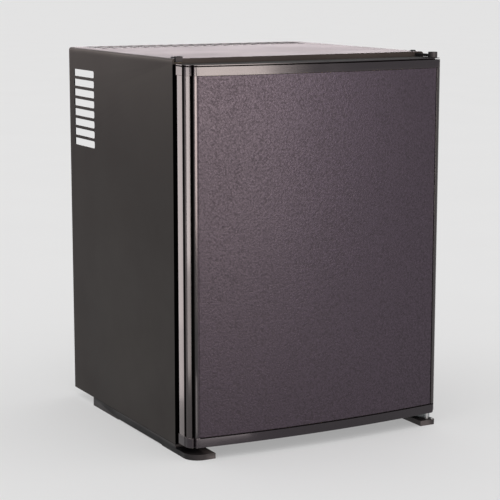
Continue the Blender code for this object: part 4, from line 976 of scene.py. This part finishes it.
@dataclass
class Door(Assembly):
    """The door leaf: bowed grained panel, side profiles, end caps, liner, gasket and racks.

    Distances run in from the grip side and forward from the door's back, in metres. Angles
    are in degrees. The caps' corner sizes are the width and height of their rounding.
    """

    refined: tuple[Rounding, ...] = (
        ("door_panel", Coating.DOOR, 0.0005, 2),
        ("door_profile_hinge", Coating.PROFILE, 0.0003, 2),
        ("door_liner", Coating.WHITE, 0.0012, 3),
        ("door_gasket", Coating.GASKET, 0.0004, 2),
        ("door_rack_lower", Coating.CLEAR, 0.0005, 2),
        ("door_rack_middle", Coating.CLEAR, 0.0005, 2),
        ("door_rack_upper", Coating.CLEAR, 0.0005, 2),
    )
    side_flat: float = 0.018
    groove_width: float = 0.0034
    groove_depth: float = 0.0014
    groove_lead: tuple[float, float] = (0.35, 0.4)
    corner_radius: float = 0.012
    corner_rise: float = 0.0136
    corner_start: float = 12.0
    corner_end: float = 53.0
    corner_steps: int = 18
    rear_round: float = 0.0036
    rear_arc: tuple[float, float] = (0.45, 0.13)
    rear_flange: float = 0.014
    finger_start: float = 0.0049
    cap_finger_start: float = 0.0056
    finger_depth: float = 0.0028
    lip: tuple[tuple[float, float], ...] = ((0.0005, 0.0003), (0.0008, 0.0024), (0.0014, 0.0028))
    bead_gap: float = 0.0006
    bead_start: float = 0.0087
    bead_end: float = 0.0131
    bead_proud: float = 0.0002
    bead_tilt: float = 0.18
    bead_foot: float = 0.0012
    bead_steps: int = 8
    panel_start: float = 0.0152
    panel_face: float = 0.0356
    panel_tongue: float = 0.0044
    film_gap: float = 0.0002
    film_drop: float = 0.0004
    ledge_drop: float = 0.0025
    wall: float = 0.0025
    inner_wall: float = 0.0032
    inner_turn: float = 0.0031
    cap_ease: float = 0.0003
    cap_bead: tuple[float, float] = (0.0117, 0.0151)
    cap_bead_reach: float = 0.0009
    cap_front: float = 0.03
    top_corner: tuple[float, float] = (0.0048, 0.007)
    bottom_corner: tuple[float, float] = (0.006, 0.011)
    corner_cuts: tuple[int, ...] = (18, 36, 54, 72, 90)
    lid: float = 0.001
    # Height of the seam under the lid, painted dull black as shade
    seam: float = 0.0017
    # Height of the bottom cap's painted shadow line at its seam with the panel
    low_shadow_seam: float = 0.0013

    def build(self) -> None:
        """Build and dress every piece of the door."""
        super().build()
        self.grip_profile()
        self.top_cap()
        self.bottom_cap()
        self.coat("door_foam", Coating.FOAM)

    def corner_point(self, angle: float) -> tuple[float, float]:
        """Find the point of the round corner at an angle from its start."""
        turn, start = radians(angle), self.side_flat + self.groove_width
        return self.corner_radius * (1 - cos(turn)), start + self.corner_rise * sin(turn)

    def cap(self, node: str, outer: float, corner: tuple[float, float]) -> Mesh:
        """Shape an end cap: its corner rounded on the hinge side, and its bead in line with the profile's.

        Args:
            node: The cap's node.
            outer: Height of its outer face.
            corner: Width and height of the rounding.

        Returns:
            The cap's mesh.
        """
        low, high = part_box(node)
        width, height = corner
        toward = 1.0 if outer == low.z else -1.0
        mesh = merged_copy(node)
        for turn in self.corner_cuts:
            cut_at(mesh, outer + toward * height * (1 - cos(radians(turn))))
        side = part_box("door_profile_grip")[0].x
        start, end = self.cap_bead
        for vert in mesh.verts:
            left = max(0.0, 1 - abs(vert.co.z - outer) / height)
            vert.co.x = min(vert.co.x, high.x - width * (1 - sqrt(1 - left * left)))
            across = vert.co.x - side
            near = start - self.cap_bead_reach < across < end + TENTH
            if near and vert.co.y < low.y + self.cap_front:
                share = (across - start) / (end - start)
                vert.co.x = side + self.bead_start + share * (self.bead_end - self.bead_start)
        return eased(mesh, self.cap_ease)

    def top_cap(self) -> None:
        """Dress the top cap: grooves and the seam under its lid in dull black as painted shade, and a satin
        lid.
        """
        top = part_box("door_cap_top")[1].z
        mesh = self.cap("door_cap_top", top, self.top_corner)
        self.paint_groove_shade(mesh, self.cap_finger_start)

        def inlay(middle: Vector, normal: Vector) -> int | None:
            """Find the seam, painted dull black as shade, and the lid."""
            drop = top - middle.z
            if self.lid < drop < self.lid + self.seam + TENTH and abs(normal.z) < PARTLY:
                return 1
            return 2 if normal.z > MOSTLY and drop < 5 * TENTH else None

        mark(mesh, inlay)
        # Dull black paints shade in the grooves and the seam; satin black covers the lid
        inlays = (Coating.GASKET, Coating.BLACK)
        self.publish("door_cap_top_finished", mesh, Coating.TRIM, ("door_cap_top",), inlays=inlays)

    def bottom_cap(self) -> None:
        """Dress the bottom cap, with the seam between it and the panel in dull black as a painted shadow
        line.
        """
        low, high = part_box("door_cap_bottom")
        mesh = self.cap("door_cap_bottom", low.z, self.bottom_corner)
        level = high.z - self.low_shadow_seam
        cut_at(mesh, level)
        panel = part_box("door_profile_grip")[0].x + self.panel_start
        # Front faces above the cut, beside the panel: painted shadow of the seam between cap and panel
        mark(mesh, lambda at, normal: int(at.z > level and normal.y < -PARTLY and at.x > panel))
        inlays = (Coating.GASKET,)
        self.publish("door_cap_bottom_finished", mesh, Coating.TRIM, ("door_cap_bottom",), inlays=inlays)

    def paint_groove_shade(self, mesh: Mesh, finger_start: float) -> None:
        """Mark the faces inside the two grooves of the grip side, for the dull black inlay that paints shade
        in them.

        Args:
            mesh: The mesh of a piece on that side.
            finger_start: Where the piece's finger groove starts, in from the side.
        """
        low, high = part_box("door_profile_grip")
        first = self.corner_point(self.corner_start)[1]
        floor = self.corner_point(self.corner_end)[1] - self.finger_depth

        def inlay(middle: Vector, normal: Vector) -> int:
            """Find the faces of the two grooves."""
            across, forward = middle.x - low.x, high.y - middle.y
            in_side = across < self.groove_depth + 2 * TENTH and self.side_flat < forward < first
            in_finger = finger_start < across < self.bead_start + TENTH and forward > floor - 3 * TENTH
            return int(abs(normal.z) < PARTLY and (in_side or in_finger))

        mark(mesh, inlay)

    def dress_bead(self, mesh: Mesh) -> None:
        """Mark the bead's faces, and the strip beside it that the panel's film is turned over.

        Args:
            mesh: The grip profile's mesh.
        """
        low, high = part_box("door_profile_grip")

        def inlay(middle: Vector, normal: Vector) -> int | None:
            """Find the bead and the film's strip."""
            across, forward = middle.x - low.x, high.y - middle.y
            if abs(normal.z) > PARTLY or forward < self.panel_face - self.bead_foot - TENTH:
                return None
            if self.bead_start + TENTH < across < self.bead_end:
                return 2
            return 3 if self.bead_end < across < self.panel_start + TENTH else None

        mark(mesh, inlay)

    def grip_section(self) -> list[tuple[float, float]]:
        """Draw the grip profile's section: flat, groove, round corner, finger groove and bead.

        Returns:
            Closed outline as distances in from the side and forward from the back.
        """
        flat, depth, wall, turn = self.side_flat, self.groove_depth, self.wall, self.rear_round
        soft = depth * self.groove_lead[0]
        # The rounded rear edge, then the flat side and the groove in it
        wide, narrow = [turn * share for share in self.rear_arc]
        points = [(turn, 0.0), (wide, narrow), (narrow, wide), (0.0, turn), (0.0, flat - soft)]
        points += [(soft * self.groove_lead[1], flat), (depth, flat + soft)]
        points.append((depth, self.corner_point(self.corner_start)[1] - soft))
        # The round corner
        sweep = self.corner_end - self.corner_start
        steps = range(self.corner_steps + 1)
        points += [self.corner_point(self.corner_start + sweep * step / self.corner_steps) for step in steps]
        # The finger groove, with a lip
        rim_across, rim = points[-1]
        floor = rim - self.finger_depth
        points += [(rim_across + across, rim - down) for across, down in self.lip]
        points.append((self.bead_start - self.bead_gap, floor))
        # The bead, crowned and tilted towards the grip
        points.append((self.bead_start, self.panel_face - self.bead_foot))
        width = self.bead_end - self.bead_start
        for step in range(self.bead_steps + 1):
            share = step / self.bead_steps
            crown = self.bead_proud * (1 - (2 * share - 1) ** 2) - self.bead_tilt * width * (1 - share)
            points.append((self.bead_start + width * share, self.panel_face + crown))
        # The strip beside it and the tongue behind the panel
        film, ledge = self.panel_face - self.film_drop, self.panel_face - self.ledge_drop
        tongue = self.panel_start + self.panel_tongue
        points += [(self.bead_end + self.film_gap, film), (self.panel_start, film)]
        points += [(self.panel_start, ledge), (tongue, ledge), (tongue, ledge - wall)]
        # Back along the inner side of the wall to the rear flange
        points += [(self.panel_start - self.inner_turn, floor - wall), (rim_across, floor - wall)]
        points.append((self.inner_wall, flat + self.groove_width))
        points += [(self.inner_wall, flat - wall), (wall, flat - 2 * wall), (wall, wall)]
        return points + [(self.rear_flange, wall), (self.rear_flange, 0.0)]

    def grip_profile(self) -> None:
        """Extrude the grip profile along the door, with its grooves lined in dull black as painted shade."""
        low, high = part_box("door_profile_grip")
        mesh = bmesh.new()
        section = [(low.x + across, high.y - forward, low.z) for across, forward in self.grip_section()]
        base = mesh.faces.new([mesh.verts.new(point) for point in section])
        top = vertices(bmesh.ops.extrude_face_region(mesh, geom=[base], use_keep_orig=True))
        bmesh.ops.translate(mesh, verts=top, vec=(0.0, 0.0, high.z - low.z))
        bmesh.ops.recalc_face_normals(mesh, faces=mesh.faces)
        self.paint_groove_shade(mesh, self.finger_start)
        self.dress_bead(mesh)
        # Inlays: dull black as painted shade in the grooves, the chromed bead, and the film's strip
        groove_shade_bead_film = (Coating.GASKET, Coating.BEAD, Coating.DOOR)
        self.publish("door_grip_profile", mesh, Coating.PROFILE, ("door_profile_grip",), inlays=groove_shade_bead_film)


@dataclass
class CoolingUnit(Assembly):
    """The absorption cooling unit, its brackets and the electrical box in the rear bay.

    Sizes are in metres, angles in degrees.
    """

    refined: tuple[Rounding, ...] = (
        ("unit_bracket_1", Coating.STRAP, 0.0004, 2),
        ("unit_bracket_2", Coating.STRAP, 0.0004, 2),
        ("unit_bracket_3", Coating.STRAP, 0.0004, 2),
        ("boiler_jacket", Coating.SHEET, 0.0008, 2),
        ("absorber_vessel", Coating.PIPE, 0.0008, 2),
        ("condenser", Coating.PIPE, 0.0002, 2),
        ("evaporator_plug", Coating.GREY, 0.0008, 2),
        ("evaporation_tray", Coating.BLACK, 0.0004, 2),
        ("terminal_box", Coating.BLACK, 0.001, 3),
        ("mains_inlet", Coating.GREY, 0.0003, 2),
    )
    pipe_radius: float = 0.007
    coil_radius: float = 0.0065
    feed_radius: float = 0.006
    drain_radius: float = 0.004
    join_angles: tuple[float, float] = (25, 60)
    link_shift: float = 0.3
    link_bend: float = 0.007
    link_end: float = 0.012
    link_lap: float = 0.004
    coil_clear: float = 0.0003
    weld_width: float = 0.0022
    weld_height: float = 0.55
    weld_steps: int = 6
    weld_sink: float = 0.001
    lap: float = 0.003
    lap_proud: float = 0.0009
    lap_inset: float = 0.012
    lap_turn: float = 118
    lap_ease: float = 0.0004
    band_inset: float = 0.009
    band_fold: tuple[float, float] = (0.0003, 0.0002)
    strap_sheet: float = 0.002
    strap_flange: float = 0.012
    strap_inset: float = 0.014
    panel_inset: float = 0.012
    panel_screws: Point = (0.15, 0.33, 0.51)
    plug_inset: float = 0.007
    box_inset: float = 0.006
    spin_step: float = 0.7
    screw: Screw = Screw(0.0034, 0.0018, 0.001)

    def build(self) -> None:
        """Build and dress every piece of the rear bay."""
        super().build()
        self.pipe("riser_pipe", self.pipe_radius, Coating.PIPE)
        self.pipe("evaporator_pipe", self.pipe_radius, Coating.PIPE)
        self.pipe("absorber_coil", self.coil_radius, Coating.PIPE)
        self.pipe("drain_tube", self.drain_radius, Coating.BLACK)
        self.links()
        self.welds()
        self.jacket_trim()
        self.screws()

    def pipe(self, node: str, radius: float, coating: Coating) -> None:
        """Make one of the model's eight-sided pipes truly round.

        The sides are swelled first, because subdividing draws an octagon in.

        Args:
            node: The pipe's node.
            radius: Its radius in metres.
            coating: Its finish.
        """
        mesh = welded_copy(node)
        fold, shape = [radians(angle) for angle in self.join_angles]
        limits = {"angle_face_threshold": fold, "angle_shape_threshold": shape}
        bmesh.ops.join_triangles(mesh, faces=mesh.faces, **limits)
        mesh.normal_update()
        swell = radius * (3 / (2 + cos(pi / 4)) - 1)
        for vert in mesh.verts:
            vert.co += vert.normal * swell
        self.publish(f"{node}_finished", mesh, coating, (node,), 2)

    def links(self) -> None:
        """Run the coil's foot and the boiler's feed pipe into the absorber vessel."""
        low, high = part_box("absorber_vessel")
        vessel = (low + high) / 2
        x = vessel.x + self.link_shift * (high.x - low.x)
        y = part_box("unit_bracket_1")[1].y + self.coil_clear + self.coil_radius
        top = high.z + self.link_lap
        inside = (x, vessel.y - self.link_end / 2, vessel.z + self.link_end)
        foot = [(x, y, top), (x, y, top - self.link_end), inside]
        ends = (low.x + self.link_lap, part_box("boiler_jacket")[1].x - self.link_lap)
        feed = [(end, vessel.y, vessel.z) for end in ends]
        parts = [tube(bent(foot, self.link_bend), self.coil_radius, 20), tube(feed, self.feed_radius, 20)]
        self.publish("vessel_links", joined(parts), Coating.PIPE)

    def welds(self) -> None:
        """Lay a weld bead round every pipe joint."""
        boiler, fins, vessel = [middle_of(node) for node in ("boiler_jacket", "condenser", "absorber_vessel")]
        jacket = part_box("boiler_jacket")[1]
        fin_ends = [corner.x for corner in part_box("condenser")]
        low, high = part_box("evaporator_plug")
        plug = (low + high) / 2
        side, rise = (high.x - low.x) / 4, (high.z - low.z) / 4
        joints = (
            ((boiler.x, boiler.y, jacket.z), Axis.Z, self.pipe_radius),
            ((fin_ends[0], fins.y, fins.z), Axis.X, self.pipe_radius),
            ((fin_ends[1], fins.y, fins.z), Axis.X, self.pipe_radius),
            ((plug.x + side, high.y, plug.z + rise), Axis.Y, self.pipe_radius),
            ((plug.x - side, high.y, plug.z - rise), Axis.Y, self.coil_radius),
            ((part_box("absorber_vessel")[0].x, vessel.y, vessel.z), Axis.X, self.feed_radius),
            ((jacket.x, vessel.y, vessel.z), Axis.X, self.feed_radius),
        )
        width = self.weld_width
        beads = []
        for middle, axis, radius in joints:
            section = [(radius - self.weld_sink, -width)]
            for step in range(self.weld_steps + 1):
                angle = pi * step / self.weld_steps
                section.append((radius + width * self.weld_height * sin(angle), -width * cos(angle)))
            section += [(radius - self.weld_sink, width), (radius - self.weld_sink, -width)]
            beads.append(turned(section, Vector(middle), axis, 28))
        self.publish("pipe_welds", joined(beads), Coating.PIPE)

    def jacket_trim(self) -> None:
        """Fold the boiler jacket's upright lock seam and its two crimped end bands."""
        low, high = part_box("boiler_jacket")
        middle = (low + high) / 2
        radius = (high.x - low.x) / 2
        wall, crown, lap = radius - self.weld_sink, radius + self.lap_proud, self.lap
        foot, head = low.z + self.lap_inset, high.z - self.lap_inset
        seam = block((wall, -lap, foot), (crown, lap, head), self.lap_ease)
        turn = Matrix.Rotation(radians(self.lap_turn), 3, "Z")
        bmesh.ops.rotate(seam, cent=(0, 0, 0), matrix=turn, verts=seam.verts)
        bmesh.ops.translate(seam, vec=(middle.x, middle.y, 0.0), verts=seam.verts)
        parts = [seam]
        shoulder, edge = radius + self.band_fold[0], lap - self.band_fold[1]
        band = [(wall, -lap), (shoulder, -edge), (crown, 0.0), (shoulder, edge), (wall, lap), (wall, -lap)]
        for level in (low.z + self.band_inset, high.z - self.band_inset):
            parts.append(turned(band, Vector((middle.x, middle.y, level)), Axis.Z, 48))
        self.publish("jacket_trim", joined(parts), Coating.SHEET)

    def screws(self) -> None:
        """Screw down the straps, the rear panel, the evaporator plug and the terminal box."""
        seats = []
        for index in (1, 2, 3):
            low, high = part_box(f"unit_bracket_{index}")
            for x in (low.x + self.strap_inset, high.x - self.strap_inset):
                for z in (low.z + self.strap_flange / 2, high.z - self.strap_flange / 2):
                    seats.append(Vector((x, low.y + self.strap_sheet, z)))
        low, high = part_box("rear_panel")
        for x in (low.x + self.panel_inset, high.x - self.panel_inset):
            seats += [Vector((x, high.y, z)) for z in self.panel_screws]
        for node, inset in (("evaporator_plug", self.plug_inset), ("terminal_box", self.box_inset)):
            low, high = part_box(node)
            seats.append(Vector((low.x + inset, high.y, high.z - inset)))
            seats.append(Vector((high.x - inset, high.y, low.z + inset)))
        heads = [self.screw.head(seat, Axis.Y, self.spin_step * at) for at, seat in enumerate(seats)]
        self.publish("rear_screws", joined(heads), Coating.STRAP, (), 1)


@dataclass(frozen=True)
class SoftBox:
    """A rectangular soft box. Sizes are in metres, radiance in watts per square metre and steradian."""

    name: str
    place: Point
    aim: Point
    size: tuple[float, float]
    radiance: float
    colour: str = "#ffffff"
    lit: Lit = Lit.FRIDGE

    def hang(self, groups: dict[Lit, bpy.types.Collection]) -> None:
        """Hang the soft box and flag it to its pieces.

        Args:
            groups: The pieces of each group.
        """
        data = bpy.data.lights.new(self.name, "AREA")
        data.shape = "RECTANGLE"
        data.size, data.size_y = self.size
        data.color = linear(self.colour)[:3]
        data.energy = self.radiance * pi * self.size[0] * self.size[1]
        lamp = placed(self.name, data)
        lamp.visible_camera = False
        lamp.location = self.place
        lamp.rotation_mode = "QUATERNION"
        lamp.rotation_quaternion = (Vector(self.aim) - Vector(self.place)).to_track_quat("-Z", "Y")
        lamp.light_linking.receiver_collection = groups[self.lit]


SOFT_BOXES = (
    # Overhead box: an even fill from above
    SoftBox("top_box", (-0.6, -0.4, 3.4), (0.0, 0.0, 0.0), (3.4, 3.4), 1.2),
    # Box before the door: its patch ends a third of the way across the bowed front
    SoftBox("front_box", (0.22, -1.82, 0.68), (0.0, -0.2, 0.5), (0.78, 1.26), 12.0, "#ffeee8", Lit.OUTSIDE),
    # Soft front light for the white chamber, seen when the door is open
    SoftBox("inside_box", (-0.3, -1.9, 0.9), (0.0, 0.0, 0.3), (1.2, 1.2), 3.0, "#fffaf6", Lit.INSIDE),
    # Wider, dimmer box for the grained panel: it fades down and to the right
    SoftBox("panel_box", (0.72, -1.75, 0.75), (0.0, -0.2, 0.5), (0.7, 1.3), 3.6, "#f6e6ff", Lit.PANEL),
    # Left boxes: the pale line on the round grip corner, dimmer low down
    SoftBox("left_box", (-0.65, -0.245, 0.41), (-0.2, -0.19, 0.41), (0.38, 0.44), 8.4, "#fff0ee", Lit.DOOR),
    SoftBox("left_low_box", (-0.65, -0.245, 0.09), (-0.2, -0.19, 0.09), (0.38, 0.2), 3.8, "#fff0ee",
            Lit.DOOR),
    # Boxes behind on the left: the pale line on the flat side of the door
    SoftBox("back_left_box", (-0.345, 0.089, 0.37), (-0.203, -0.175, 0.37), (0.15, 0.5), 2.7, "#ffeeec",
            Lit.DOOR),
    SoftBox("back_low_box", (-0.345, 0.089, 0.06), (-0.203, -0.175, 0.06), (0.15, 0.12), 2.2, "#ffeeec",
            Lit.DOOR),
    # Low card before the door: it brightens the left part of the bottom cap
    SoftBox("low_card", (-0.14, -0.3, 0.018), (-0.14, -0.2, 0.018), (0.12, 0.034), 4.4, "#fff0f2",
            Lit.LOW_CAP),
    # Cards low beside and before the grip: they carry the pale lines of its side and bead down to the cap
    SoftBox("side_card", (-0.245, -0.099, 0.029), (-0.203, -0.185, 0.029), (0.06, 0.05), 0.55, "#ffeeec",
            Lit.GRIP),
    SoftBox("bead_card", (-0.185, -0.31, 0.048), (-0.185, -0.21, 0.048), (0.03, 0.085), 2.4, "#fff6f4",
            Lit.GRIP),
    # High box behind on the left: it lifts the upper part of the cabinet's side
    SoftBox("side_box", (-0.62, 0.72, 0.78), (-0.2, 0.05, 0.5), (0.5, 0.5), 5.5, "#fff0ea", Lit.WRAP),
    # Wide box behind: the glancing sheen on the top
    SoftBox("roof_box", (1.55, 2.85, 1.15), (0.0, 0.0, 0.55), (4.0, 1.3), 5.8, "#fff2f6", Lit.WRAP),
)


@dataclass
class Studio:
    """Camera, pale floor and soft lights. Lengths are in metres, angles in radians."""

    camera_place: Point = (-1.1674, -2.1627, 0.6733)
    yaw: float = 0.4945
    pitch: float = 0.1709
    lens_mm: float = 118.68
    sensor_mm: float = 36.0
    clip: tuple[float, float] = (0.05, 200.0)
    floor_half: float = 60.0
    wash: float = 1.95
    wash_spread: float = radians(120)
    room: float = 0.30
    mottle_mm: float = 1000 / 3
    inside: tuple[str, ...] = (
        "inner_liner", "evaporator_fins", "drip_channel", "control", "light", "thermostat", "shelf",
        "door_liner", "door_rack",
    )

    def camera(self) -> None:
        """Place the camera at the photograph's viewing angle."""
        data = bpy.data.cameras.new("photo_camera")
        data.lens = self.lens_mm
        data.sensor_width = self.sensor_mm
        data.clip_start, data.clip_end = self.clip
        seen = placed("photo_camera", data)
        seen.location = self.camera_place
        seen.rotation_euler = (pi / 2 - self.pitch, 0.0, -self.yaw)
        bpy.context.scene.camera = seen

    def paper(self) -> bpy.types.Material:
        """Make the floor's paper: matt and nearly white, with a trace of mottle.

        Returns:
            The material.
        """
        made = bpy.data.materials.new("studio_paper")
        made.use_nodes = True
        draw = Pattern(made.node_tree)
        mottle = draw.noise(self.mottle_mm, 3.0, place=draw.uncentred).outputs["Fac"]
        shade = draw.blend(mottle, linear("#f1f1f1"), linear("#eeeeee"))
        looks = {"Base Color": shade, "Roughness": 0.9, "Specular IOR Level": 0.1}
        draw.fill(made.node_tree.nodes["Principled BSDF"], looks)
        return made

    def floor(self) -> bpy.types.Object:
        """Lay a plain pale floor that runs back past the view.

        Returns:
            The floor.
        """
        mesh = bmesh.new()
        bmesh.ops.create_grid(mesh, x_segments=1, y_segments=1, size=self.floor_half)
        data = bpy.data.meshes.new("studio_floor")
        mesh.to_mesh(data)
        mesh.free()
        data.materials.append(self.paper())
        floor = placed("studio_floor", data)
        return floor

    def floor_wash(self, lit: bpy.types.Collection) -> None:
        """Wash the floor alone with an even, shadowless light, so that it is as pale far off as near.

        Args:
            lit: The group that holds the floor.
        """
        data = bpy.data.lights.new("floor_wash", "SUN")
        data.energy = self.wash
        data.angle = self.wash_spread
        lamp = placed("floor_wash", data)
        lamp.light_linking.receiver_collection = lit
        lamp.light_linking.blocker_collection = lit

    def world(self) -> None:
        """Fill the room with a soft, even grey light."""
        room = bpy.data.worlds.new("studio_room")
        room.use_nodes = True
        glow = room.node_tree.nodes["Background"]
        glow.inputs["Color"].default_value = linear("#f7f6f6")
        glow.inputs["Strength"].default_value = self.room
        bpy.context.scene.world = room

    def sorted_pieces(self) -> dict[Lit, bpy.types.Collection]:
        """Sort the visible pieces into the groups that lights are flagged to.

        Returns:
            A collection for each group.
        """
        groups = {kind: bpy.data.collections.new(f"lit_{kind.value}") for kind in Lit}
        for thing in list(bpy.context.scene.objects):
            if thing.type != "MESH":
                continue
            groups[Lit.FRIDGE].objects.link(thing)
            if thing.name.startswith(self.inside):
                groups[Lit.INSIDE].objects.link(thing)
                continue
            groups[Lit.OUTSIDE].objects.link(thing)
            for kind in (Lit.WRAP, Lit.DOOR, Lit.PANEL, Lit.LOW_CAP, Lit.GRIP):
                if thing.name.startswith(f"{kind.value}_"):
                    groups[kind].objects.link(thing)
        return groups

    def build(self) -> None:
        """Set up the whole studio."""
        bpy.context.scene.view_settings.view_transform = "Standard"
        groups = self.sorted_pieces()
        self.camera()
        groups[Lit.FLOOR].objects.link(self.floor())
        self.floor_wash(groups[Lit.FLOOR])
        self.world()
        for box in SOFT_BOXES:
            box.hang(groups)
        LOG.info("studio ready")


def main() -> None:
    """Build the fridge's sub-assemblies in order, then the studio."""
    logging.basicConfig(level=logging.INFO, format="%(message)s")
    palette = {finish.coating: finish.material() for finish in FINISHES}
    for part in (
        Cabinet(palette, "cabinet"),
        Hinge(palette, "cabinet"),
        Interior(palette, "cabinet"),
        Door(palette, "door"),
        CoolingUnit(palette, "cabinet"),
    ):
        part.build()
        LOG.info("%s done", type(part).__name__)
    Studio().build()


if __name__ == "__main__":
    main()
